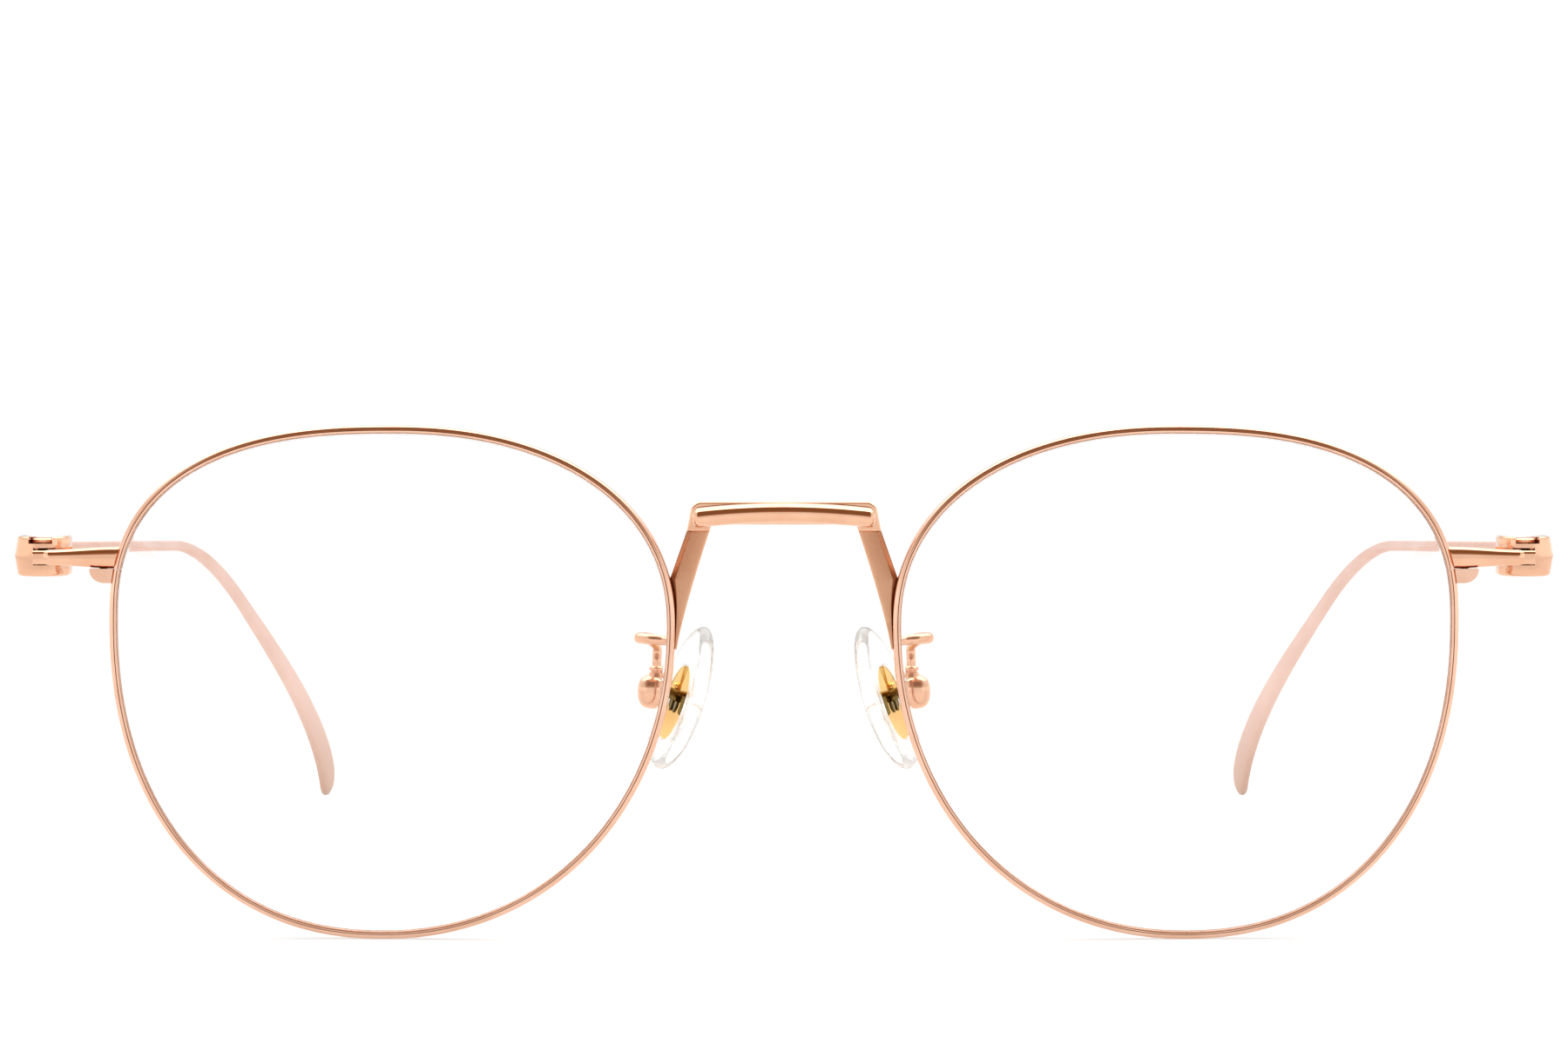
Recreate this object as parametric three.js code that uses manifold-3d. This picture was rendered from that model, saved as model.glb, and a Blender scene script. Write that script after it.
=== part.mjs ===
// Round wire-frame eyeglasses, millimetres. +X is the wearer's left, +Y runs back to the ears, +Z is up.
// Everything is drawn for the wearer's left side and mirrored for the right.
// While it is drawn, Y = 0 is the middle of the rims' depth and Z = 0 is the table under the rims.
import * as THREE from 'three';
import { mergeVertices } from 'three/addons/utils/BufferGeometryUtils.js';
import Module from 'manifold-3d';

const wasm = await Module();
wasm.setup();

// ---- Driving dimensions ------------------------------------------------------------------------
// Rim: the wire's centre line, a blend of four superellipse quarters
const EYE_WIDTH = 51.5;
const EYE_HEIGHT = 46.6;
const NOSE_GAP = 20.7; // between the two centre lines at the nose
const TOP_POINT_SHIFT = 0.3; // the highest point lies this far to the nose side
const BOTTOM_POINT_SHIFT = -0.9; // the lowest point lies this far to the temple side
const NASAL_POINT_RISE = 5.3; // the widest points lie above the eye's middle
const TEMPORAL_POINT_RISE = 5.9;
const ROUNDNESS = { nasalTop: 2.2, temporalTop: 2.5, temporalBottom: 2.23, nasalBottom: 2.1 };
const RIM_THICKNESS = 0.74; // in the plane of the front
const RIM_DEPTH = 1.5; // front to back
const GROOVE_DEPTH = 0.34;
const GROOVE_HALF_WIDTH = 0.45;
const BASE_CURVE_RADIUS = 133; // the lenses and rims lie on a sphere of this radius
const WRAP_ANGLE = THREE.MathUtils.degToRad(2);
const RIM_CUT = 0.3; // the saw cut that lets the lens in

const LENS_THICKNESS = 1.8;
const LENS_BULGE_FRONT = 0.75; // how far the front surface stands before the bevel's tip
const LENS_CLEARANCE = 0.12;

// Bridge
const BRIDGE_RISE = 15.4; // bar's centre above the eye's middle
const BAR_LENGTH = 16.8;
const BAR_RADIUS = 0.92;
const BAR_ARCH = 0.5;
const BAR_FORWARD = 0.85;
const STRAP_WIDTH = 17.9;
const STRAP_BAND = 2.1;
const STRAP_THICKNESS = 1.0;
const STRAP_ABOVE_BAR = 0.3;
const STRAP_DROP = 1.5; // its arms end this far below the bar's centre
const STRAP_CORNER = 1.3;
const LEG_THICKNESS = 0.95;
const LEG_TIP_THICKNESS = 0.75;
const LEG_CONTACT_TOP = 9.5; // above the eye's middle, where the leg reaches the rim
const LEG_CONTACT_BOTTOM = 3.1;
const LEG_BULGE = 1.2;

// End piece, rim lock and their screw
const HINGE_RISE = 11.45; // hinge's middle above the eye's middle
const ARM_REACH = 7.1; // from the rim to the hinge axis
const ARM_HEIGHT_AT_RIM = 2.0;
const ARM_HEIGHT_AT_HEAD = 1.3;
const ARM_FRONT = -0.9; // before and behind the rim's middle at the temple side
const ARM_BACK = 0.75;
const ARM_PAST_AXIS = 0.45;
const LOCK_LENGTH = 2.3;
const LOCK_HEIGHT = 1.2;
const LOCK_DEPTH = 1.6;
const LOCK_PARTING = 0.15;
const RIM_SCREW_RADIUS = 0.35;
const RIM_SCREW_HEAD_RADIUS = 0.55;
const RIM_SCREW_HEAD_HEIGHT = 0.35;

// Hinge
const AXIS_BACK = 3.4; // hinge axis behind the rim's middle at the temple side
const DRUM_RADIUS = 2.45;
const HEAD_HEIGHT = 3.7;
const HEAD_LENGTH = 5.6; // from the axis to where the wire leaves
const HEAD_RIDGE = 0.25; // the outer face comes to a low ridge at mid height
const HEAD_TAPER = 0.5; // share of its height that it loses towards the wire
const HEAD_TAPER_START = 2.4; // behind the axis
const TONGUE_EYE_RADIUS = 1.45;
const TONGUE_HEIGHT = 1.3;
const TONGUE_CLEARANCE = 0.15;
const HINGE_SCREW_RADIUS = 0.6;
const HINGE_SCREW_HEAD_RADIUS = 1.05;
const HINGE_SCREW_HEAD_HEIGHT = 0.5;
const HINGE_SCREW_SINK = 0.15; // the screw's head lies this far below the drum's top
const SCREW_RUNNING_FIT = 0.06;
const SCREW_SLOT_WIDTH = 0.3;
const SCREW_SLOT_DEPTH = 0.22;
const NOTCH_HALF_WIDTH = 1.1;

// Temple: straight, ear bend, straight, and a tail that curls down, measured in its own side plane
const TEMPLE_STRAIGHT = 83;
const EAR_BEND_RADIUS = 26;
const EAR_BEND_ANGLE = THREE.MathUtils.degToRad(41);
const TAIL_STRAIGHT = 29.55;
const TAIL_CURL_RADIUS = 16;
const TAIL_CURL_ANGLE = THREE.MathUtils.degToRad(18);
const TEMPLE_SLOPE = THREE.MathUtils.degToRad(2.6);
const TEMPLE_RISE = 0.42; // the wire leaves the head above its middle
const TEMPLE_OFFSET = 0.3; // and this far outside the axis
const TAIL_INWARD = 14.3;
const TAIL_INWARD_START = 70;
const WIRE_DIAMETER = 1.15;
const PADDLE_WIDTH = 5.0;
const PADDLE_THICKNESS = 1.15;
const PADDLE_LENGTH = 52; // the wire widens over this length

// Pad arm, pad box and pad
const PAD_ARM_RADIUS = 0.45;
const PAD_ARM_RISE = 3.75; // loop above the eye's middle
const PAD_LOOP_REACH = 3.0; // the loop's far side from the rim's centre line
const PAD_LOOP_BACK = 1.25; // the loop's near side behind the rim's back face
const PAD_LOOP_DEPTH = 2.0; // from its near side to its far side
const PAD_BOX = { width: 2.7, depth: 2.6, height: 3.2, corner: 0.9 };
const PAD_BOX_BACK = 5.4;
const PAD_BOX_RISE = -1.25; // box centre above the eye's middle
const PAD_BOX_OUT = 1.4; // box centre outside the rim's centre line
const PAD_STEM_OFFSET = 0.45; // the stem comes down nearer the rim than the box's middle
const PAD_PIVOT_OFFSET = 0.2; // and so does the screw
const PAD_NECK_RADIUS = 0.72;
const PAD_NECK_HEIGHT = 0.8;
const PAD_SCREW_RADIUS = 0.35;
const PAD_SCREW_HEAD_RADIUS = 0.62;
const PAD_LUG_THICKNESS = 1.1;
const PAD_LUG_RADIUS = 0.72;
const PAD_LUG_CLEARANCE = 0.15;
const PAD_HEIGHT = 14.0;
const PAD_WIDTH = 7.8;
const PAD_THICKNESS = 2.3;
const PAD_SPLAY = THREE.MathUtils.degToRad(25);
const PAD_FRONTAL = THREE.MathUtils.degToRad(19);
const PAD_INWARD = 2.6; // pad's middle inside the lug's hole
const PAD_BACK = 1.9; // behind it
const PAD_DROP = 0.75; // and below it
const CORE_HEIGHT = 6.2;
const CORE_WIDTH = 3.6;
const CORE_THICKNESS = 0.6;
const CORE_POCKET_CLEARANCE = 0.12;

const SEAM = 0.12; // between pieces that are brazed or screwed face to face

// ---- Places worked out from them ---------------------------------------------------------------
const halfTop = EYE_HEIGHT / 2;
const eyeMiddle = new THREE.Vector3((NOSE_GAP + EYE_WIDTH) / 2, 0, halfTop + RIM_THICKNESS / 2);
const hingeHeight = eyeMiddle.z + HINGE_RISE;
const barHeight = eyeMiddle.z + BRIDGE_RISE;

// ---- Materials ---------------------------------------------------------------------------------
const metal = (color, roughness) => new THREE.MeshStandardMaterial({ color, roughness, metalness: 1 });
const clear = (color) =>
  new THREE.MeshStandardMaterial({ color, roughness: 0.05, transparent: true, opacity: 0.25 });
const polishedRoseGold = () => metal(0xe6aa8a, 0.16);
const satinRoseGold = () => metal(0xf0c4b0, 0.42);
const yellowGold = () => metal(0xf2c968, 0.25);
const lensMaterial = () => clear(0xfafcff);
const padMaterial = () => clear(0xfffaf4);

// ---- Geometry helpers --------------------------------------------------------------------------
function signedVolume(positions, index) {
  const [a, b, c] = [new THREE.Vector3(), new THREE.Vector3(), new THREE.Vector3()];
  let volume = 0;
  for (let i = 0; i < index.length; i += 3) {
    a.fromArray(positions, 3 * index[i]);
    b.fromArray(positions, 3 * index[i + 1]);
    c.fromArray(positions, 3 * index[i + 2]);
    volume += a.dot(b.cross(c)) / 6;
  }
  return volume;
}

function indexed(positions, index) {
  const facing = signedVolume(positions, index) > 0 ? index : index.toReversed();
  const geometry = new THREE.BufferGeometry();
  geometry.setAttribute('position', new THREE.Float32BufferAttribute(positions, 3));
  geometry.setIndex(facing);
  geometry.computeVertexNormals();
  return geometry;
}

// Triangles that close one end ring, each with its corners in the ring's own order
function capTriangles(ring) {
  const across = ring[0].clone().sub(ring[Math.floor(ring.length / 2)]).normalize();
  const side = ring[Math.floor(ring.length / 4)].clone().sub(ring[Math.floor((3 * ring.length) / 4)]);
  side.addScaledVector(across, -side.dot(across)).normalize();
  const flat = ring.map((p) => new THREE.Vector2(p.dot(across), p.dot(side)));
  return THREE.ShapeUtils.triangulateShape(flat, []).map((face) => [...face].sort((a, b) => a - b));
}

// Skin over a row of rings with equal point counts.
// Ends are flat or run to a pole, or the row closes on itself.
function loft(rings, { closed = false, startPole = null, endPole = null } = {}) {
  const count = rings[0].length;
  const points = rings.flat();
  const index = [];
  const spans = closed ? rings.length : rings.length - 1;
  for (let i = 0; i < spans; i += 1) {
    const near = i * count;
    const far = ((i + 1) % rings.length) * count;
    for (let j = 0; j < count; j += 1) {
      const k = (j + 1) % count;
      index.push(near + j, far + j, far + k, near + j, far + k, near + k);
    }
  }
  const last = (rings.length - 1) * count;
  if (!closed) {
    if (startPole) {
      points.push(startPole);
      for (let j = 0; j < count; j += 1) index.push(j, (j + 1) % count, points.length - 1);
    } else {
      capTriangles(rings[0]).forEach(([a, b, c]) => index.push(a, b, c));
    }
    if (endPole) {
      points.push(endPole);
      for (let j = 0; j < count; j += 1) index.push(last + ((j + 1) % count), last + j, points.length - 1);
    } else {
      capTriangles(rings.at(-1)).forEach(([a, b, c]) => index.push(last + c, last + b, last + a));
    }
  }
  return indexed(points.flatMap((p) => [p.x, p.y, p.z]), index);
}

function solidOf(geometry) {
  const bare = geometry.clone();
  bare.deleteAttribute('normal');
  bare.deleteAttribute('uv');
  const merged = mergeVertices(bare, 1e-4);
  const vertProperties = new Float32Array(merged.attributes.position.array);
  const triVerts = new Uint32Array(merged.index.array);
  return new wasm.Manifold(new wasm.Mesh({ numProp: 3, vertProperties, triVerts }));
}

function geometryOf(solid) {
  const mesh = solid.getMesh();
  return indexed(Array.from(mesh.vertProperties), Array.from(mesh.triVerts));
}

const joined = (...shapes) => geometryOf(shapes.map(solidOf).reduce((all, shape) => all.add(shape)));
const cut = (shape, ...tools) =>
  geometryOf(tools.map(solidOf).reduce((left, tool) => left.subtract(tool), solidOf(shape)));

function mirrored(geometry) {
  const flipped = (value, i) => (i % 3 === 0 ? -value : value);
  const positions = Array.from(geometry.attributes.position.array, flipped);
  const index = geometry.index?.array ?? Array.from({ length: positions.length / 3 }, (_, i) => i);
  return indexed(positions, Array.from(index));
}

function block(low, high) {
  const size = high.map((value, i) => value - low[i]);
  return new THREE.BoxGeometry(...size).translate(...low.map((value, i) => value + size[i] / 2));
}

// Turned shape about an upright axis: the profile lists [radius, height] from the bottom up
function turned(profile, x, y, z, segments = 20) {
  const points = profile.map(([radius, height]) => new THREE.Vector2(radius, height));
  return new THREE.LatheGeometry(points, segments).rotateX(Math.PI / 2).translate(x, y, z);
}

const post = (radius, low, high, x, y, segments = 20) =>
  turned([[0, low], [radius, low], [radius, high], [0, high]], x, y, 0, segments);

// ---- Rim outline -------------------------------------------------------------------------------
const quarters = [
  { x: TOP_POINT_SHIFT, z: NASAL_POINT_RISE, power: ROUNDNESS.nasalTop, right: 1, up: 1 },
  { x: TOP_POINT_SHIFT, z: TEMPORAL_POINT_RISE, power: ROUNDNESS.temporalTop, right: -1, up: 1 },
  { x: BOTTOM_POINT_SHIFT, z: TEMPORAL_POINT_RISE, power: ROUNDNESS.temporalBottom, right: -1, up: -1 },
  { x: BOTTOM_POINT_SHIFT, z: NASAL_POINT_RISE, power: ROUNDNESS.nasalBottom, right: 1, up: -1 },
];

// The outline seen from the front, around the eye's middle, with the nose towards +X and +Z up.
// It starts at the nose and runs over the top.
class EyeOutline extends THREE.Curve {
  getPoint(t, target = new THREE.Vector3()) {
    const turn = ((t % 1) + 1) % 1;
    const quarter = quarters[Math.min(3, Math.floor(turn * 4))];
    const angle = turn * 2 * Math.PI;
    const width = EYE_WIDTH / 2 - quarter.right * quarter.x;
    const height = halfTop - quarter.up * quarter.z;
    const across = Math.abs(Math.cos(angle)) ** (2 / quarter.power);
    const along = Math.abs(Math.sin(angle)) ** (2 / quarter.power);
    const x = quarter.x + quarter.right * width * across;
    return target.set(x, 0, quarter.z + quarter.up * height * along);
  }
}

const outline = new EyeOutline();
outline.arcLengthDivisions = 2000;

// Outward normal in the plane of the front
function outlineNormal(u) {
  const tangent = outline.getPointAt((u + 1.0005) % 1).sub(outline.getPointAt((u + 0.9995) % 1));
  return new THREE.Vector3(tangent.z, 0, -tangent.x).normalize();
}

// Half the outline's width at a height above the eye's middle, on the nose side (+1) or temple side (-1)
function outlineReach(rise, side) {
  const quarter = quarters.find((q) => q.right === side && q.up === Math.sign(rise - q.z || 1));
  const width = EYE_WIDTH / 2 - side * quarter.x;
  const height = halfTop - quarter.up * quarter.z;
  const climb = Math.min(1, Math.abs(rise - quarter.z) / height);
  return side * quarter.x + width * (1 - climb ** quarter.power) ** (1 / quarter.power);
}

// Depth of the base curve at a point of the eye, taken from its mean at the rim
function baseCurve(x, z) {
  const sag = (r2) => BASE_CURVE_RADIUS - Math.sqrt(BASE_CURVE_RADIUS ** 2 - r2);
  return sag(x * x + z * z) - sag((EYE_WIDTH * EYE_HEIGHT) / 4);
}

// From the eye's own plane (nose towards +x) to the wearer's left side of the pair
function placeInEye(x, y, z) {
  const wrapped = new THREE.Vector3(-x, y, z).applyAxisAngle(new THREE.Vector3(0, 0, 1), WRAP_ANGLE);
  return wrapped.add(eyeMiddle);
}

// A point that stands off the outline by a distance along its normal, and off the base curve in depth
function aroundEye(u, outward, back) {
  const p = outline.getPointAt((u + 1) % 1).addScaledVector(outlineNormal(u), outward);
  return placeInEye(p.x, baseCurve(p.x, p.z) + back, p.z);
}

// Place of the rim's centre line at a height above the eye's middle
function rimPoint(rise, side) {
  const x = side * outlineReach(rise, side);
  return placeInEye(x, baseCurve(x, rise), rise);
}

// Fraction of the outline's length, from the nose over the top, where the temple side has this height
function outlineFraction(rise) {
  let [low, high] = [0.25, 0.75];
  for (let i = 0; i < 40; i += 1) {
    const middle = (low + high) / 2;
    if (outline.getPointAt(middle).z > rise) low = middle;
    else high = middle;
  }
  return low;
}

// ---- Rims and lenses ---------------------------------------------------------------------------
const RIM_STEPS = 84;

function rimSection() {
  const half = RIM_THICKNESS / 2;
  const depth = RIM_DEPTH / 2;
  const round = 0.22;
  return [
    [half - round, -depth], [half, -depth + round], [half, depth - round], [half - round, depth],
    [-half, depth], [-half, GROOVE_HALF_WIDTH], [-half + GROOVE_DEPTH, 0], [-half, -GROOVE_HALF_WIDTH],
    [-half, -depth],
  ];
}

const partingRise = HINGE_RISE - ARM_HEIGHT_AT_RIM / 2 - LOCK_PARTING / 2;

function rim() {
  const section = rimSection();
  const halfCut = RIM_CUT / 2 / outline.getLength();
  const start = outlineFraction(partingRise) + halfCut;
  const rings = [];
  for (let i = 0; i <= RIM_STEPS; i += 1) {
    const u = start + (i / RIM_STEPS) * (1 - 2 * halfCut);
    rings.push(section.map(([outward, back]) => aroundEye(u % 1, outward, back)));
  }
  return loft(rings);
}

function lens() {
  const steps = 56;
  const front = -LENS_BULGE_FRONT;
  const back = front + LENS_THICKNESS;
  const edge = -RIM_THICKNESS / 2 - LENS_CLEARANCE;
  const tip = edge + GROOVE_DEPTH - 0.04;
  const ring = (outward, depth) =>
    Array.from({ length: steps }, (_, i) => aroundEye(i / steps, outward, depth));
  // A ring shrunk towards the eye's middle, on the same sphere as the rim
  const shrunk = (share, depth) =>
    Array.from({ length: steps }, (_, i) => {
      const p = outline.getPointAt(i / steps).addScaledVector(outlineNormal(i / steps), edge);
      return placeInEye(share * p.x, baseCurve(share * p.x, share * p.z) + depth, share * p.z);
    });
  const shares = [0.35, 0.75];
  const rings = [
    ...shares.map((share) => shrunk(share, front)),
    ring(edge, front),
    ring(edge, -GROOVE_HALF_WIDTH + 0.05),
    ring(tip, 0),
    ring(edge, GROOVE_HALF_WIDTH - 0.05),
    ring(edge, back),
    ...shares.toReversed().map((share) => shrunk(share, back)),
  ];
  const middle = baseCurve(0, 0);
  const startPole = placeInEye(0, middle + front, 0);
  const endPole = placeInEye(0, middle + back, 0);
  return loft(rings, { startPole, endPole });
}

// ---- Bridge ------------------------------------------------------------------------------------
function bridgeBar() {
  const half = BAR_LENGTH / 2;
  const arch = (x) => BAR_ARCH * (1 - (x / half) ** 2);
  const ring = (x, radius) =>
    Array.from({ length: 12 }, (_, j) => {
      const angle = (j / 12) * 2 * Math.PI;
      const z = barHeight + arch(x) - BAR_ARCH / 2 + radius * Math.sin(angle);
      return new THREE.Vector3(x, -BAR_FORWARD + radius * Math.cos(angle), z);
    });
  const straight = half - BAR_RADIUS;
  const capAngles = [0.2, 0.5, 0.8].map((share) => (share * Math.PI) / 2);
  const end = capAngles.map((a) => [straight + BAR_RADIUS * Math.cos(a), BAR_RADIUS * Math.sin(a)]);
  const middle = Array.from({ length: 9 }, (_, i) => [straight * (i / 4 - 1), BAR_RADIUS]);
  const stations = [...end.map(([x, r]) => [-x, r]), ...middle, ...end.toReversed()];
  const pole = (x) => new THREE.Vector3(x, -BAR_FORWARD, barHeight + arch(x) - BAR_ARCH / 2);
  return loft(stations.map(([x, r]) => ring(x, r)), { startPole: pole(-half), endPole: pole(half) });
}

const strapTop = barHeight + BAR_RADIUS + STRAP_ABOVE_BAR;
const strapBottom = barHeight - STRAP_DROP;
const strapFront = -BAR_FORWARD + BAR_RADIUS + SEAM;

function bridgeStrap() {
  const half = STRAP_WIDTH / 2;
  const inner = half - STRAP_BAND;
  const shape = new THREE.Shape();
  shape.moveTo(-half, strapBottom);
  shape.lineTo(-inner, strapBottom);
  shape.lineTo(-inner, strapTop - STRAP_BAND);
  shape.lineTo(inner, strapTop - STRAP_BAND);
  shape.lineTo(inner, strapBottom);
  shape.lineTo(half, strapBottom);
  shape.lineTo(half, strapTop - STRAP_CORNER);
  shape.quadraticCurveTo(half, strapTop, half - STRAP_CORNER, strapTop);
  shape.lineTo(-half + STRAP_CORNER, strapTop);
  shape.quadraticCurveTo(-half, strapTop, -half, strapTop - STRAP_CORNER);
  const settings = { depth: STRAP_THICKNESS, bevelEnabled: false, curveSegments: 6 };
  const plate = new THREE.ExtrudeGeometry(shape, settings);
  return geometryOf(solidOf(plate.rotateX(Math.PI / 2).translate(0, strapFront + STRAP_THICKNESS, 0)));
}

function bridgeLeg() {
  const top = strapBottom - SEAM;
  const bottom = eyeMiddle.z + LEG_CONTACT_BOTTOM;
  const contact = eyeMiddle.z + LEG_CONTACT_TOP;
  const rimSide = (z) => rimPoint(z - eyeMiddle.z, 1).x - RIM_THICKNESS / 2 - SEAM;
  const outerTop = STRAP_WIDTH / 2;
  const outer = (z) => {
    const share = (top - z) / (top - contact);
    return Math.min(outerTop + share * (rimSide(contact) - outerTop), rimSide(z));
  };
  const innerTop = outerTop - STRAP_BAND;
  const innerBottom = rimSide(bottom) - LEG_TIP_THICKNESS / 3;
  const tipFront = rimPoint(LEG_CONTACT_BOTTOM, 1).y - LEG_TIP_THICKNESS / 2;
  const rings = [];
  const steps = 12;
  for (let i = 0; i <= steps; i += 1) {
    const t = i / steps;
    const z = top + t * (bottom - top);
    const inner = innerTop + (innerBottom - innerTop) * (1 - (1 - t) ** LEG_BULGE);
    const front = THREE.MathUtils.lerp(strapFront + 0.1, tipFront, t);
    const back = front + THREE.MathUtils.lerp(LEG_THICKNESS, LEG_TIP_THICKNESS, t);
    const corners = [[inner, front], [outer(z), front], [outer(z), back], [inner, back]];
    rings.push(corners.map(([x, y]) => new THREE.Vector3(x, y, z)));
  }
  return loft(rings);
}

// ---- End piece, rim lock and rim screw ---------------------------------------------------------
const templeSide = rimPoint(HINGE_RISE, -1);
const armRoot = templeSide.x + RIM_THICKNESS / 2 + SEAM;
const hingeX = armRoot + ARM_REACH;
const hingeY = templeSide.y + AXIS_BACK;
const rimScrewX = armRoot + 1.1;
const armBottomAtRim = hingeHeight - ARM_HEIGHT_AT_RIM / 2;
const lockTop = armBottomAtRim - LOCK_PARTING;
const lockBottom = lockTop - LOCK_HEIGHT;

// The rim leans across the arm's height, so the arm's root follows it
const rimFace = (z) => rimPoint(z - eyeMiddle.z, -1).x + RIM_THICKNESS / 2 + SEAM;

function endPiece() {
  const section = (x, height, front, back, lean) => {
    const half = height / 2;
    const soft = 0.28 * half;
    const corners = [
      [front + soft, -half], [back - soft, -half], [back, -half + soft], [back, half - soft],
      [back - soft, half], [front + soft, half], [front, half - soft], [front, -half + soft],
    ];
    return corners.map(([y, z]) => new THREE.Vector3(x + lean(z), templeSide.y + y, hingeHeight + z));
  };
  const upright = () => 0;
  const followRim = (z) => rimFace(hingeHeight + z) - armRoot;
  const full = ARM_HEIGHT_AT_RIM;
  const end = ARM_HEIGHT_AT_HEAD;
  const reach = hingeX + ARM_PAST_AXIS - armRoot;
  const stations = [
    [0, full, followRim], [0.16, full, upright], [0.35, full * 0.94, upright], [0.6, full * 0.86, upright],
    [0.8, end * 1.15, upright], [1, end, upright],
  ];
  const arm = loft(stations.map(([share, height, lean]) =>
    section(armRoot + share * reach, height, ARM_FRONT, ARM_BACK, lean)));
  const low = hingeHeight - TONGUE_HEIGHT / 2;
  const high = hingeHeight + TONGUE_HEIGHT / 2;
  const web = block([hingeX - TONGUE_EYE_RADIUS, templeSide.y, low], [hingeX + ARM_PAST_AXIS, hingeY, high]);
  const eye = post(TONGUE_EYE_RADIUS, low, high, hingeX, hingeY);
  const bore = post(HINGE_SCREW_RADIUS + SCREW_RUNNING_FIT, low - 1, high + 1, hingeX, hingeY);
  const holeTop = hingeHeight + 0.3;
  const screwHole = post(RIM_SCREW_RADIUS + SEAM, armBottomAtRim - 1, holeTop, rimScrewX, templeSide.y, 16);
  return cut(joined(arm, web, eye), bore, screwHole);
}

function rimLock() {
  const tip = armRoot + LOCK_LENGTH;
  const shape = new THREE.Shape();
  shape.moveTo(rimFace(lockTop), lockTop);
  shape.lineTo(tip, lockTop);
  const curved = LOCK_LENGTH * 0.6;
  shape.absellipse(tip - curved, lockTop, curved, LOCK_HEIGHT, 0, -Math.PI / 2, true, 0);
  shape.lineTo(rimFace(lockBottom), lockBottom);
  const settings = { depth: LOCK_DEPTH, bevelEnabled: false, curveSegments: 8 };
  const plate = new THREE.ExtrudeGeometry(shape, settings);
  plate.rotateX(Math.PI / 2).translate(0, templeSide.y + LOCK_DEPTH / 2, 0);
  const hole = post(RIM_SCREW_RADIUS + SEAM, lockBottom - 1, lockTop + 1, rimScrewX, templeSide.y, 16);
  const seatTop = lockBottom + RIM_SCREW_HEAD_HEIGHT;
  const seat = post(RIM_SCREW_HEAD_RADIUS + SEAM, lockBottom - 1, seatTop, rimScrewX, templeSide.y, 16);
  return cut(plate, hole, seat);
}

function screwSlot(x, y, z, radius) {
  const half = SCREW_SLOT_WIDTH / 2;
  const low = [x - radius - 1, y - half, z - SCREW_SLOT_DEPTH];
  return block(low, [x + radius + 1, y + half, z + SCREW_SLOT_DEPTH]);
}

function rimScrew() {
  const top = hingeHeight + 0.15;
  const headTop = lockBottom + RIM_SCREW_HEAD_HEIGHT - 0.08;
  const bottom = lockBottom + 0.02;
  const profile = [
    [0, bottom], [RIM_SCREW_HEAD_RADIUS, bottom], [RIM_SCREW_HEAD_RADIUS, headTop],
    [RIM_SCREW_RADIUS, headTop], [RIM_SCREW_RADIUS, top - 0.1], [RIM_SCREW_RADIUS - 0.1, top], [0, top],
  ];
  const slot = screwSlot(rimScrewX, templeSide.y, bottom, RIM_SCREW_HEAD_RADIUS);
  return cut(turned(profile, rimScrewX, templeSide.y, 0, 16), slot);
}

// ---- Temple head, hinge screw and temple -------------------------------------------------------
const headLow = hingeHeight - HEAD_HEIGHT / 2;
const headHigh = hingeHeight + HEAD_HEIGHT / 2;
const lugHigh = hingeHeight + TONGUE_HEIGHT / 2 + TONGUE_CLEARANCE;
const lugLow = hingeHeight - TONGUE_HEIGHT / 2 - TONGUE_CLEARANCE;
const screwHeadTop = headHigh - HINGE_SCREW_SINK;
const screwSeat = screwHeadTop - HINGE_SCREW_HEAD_HEIGHT;

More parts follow.
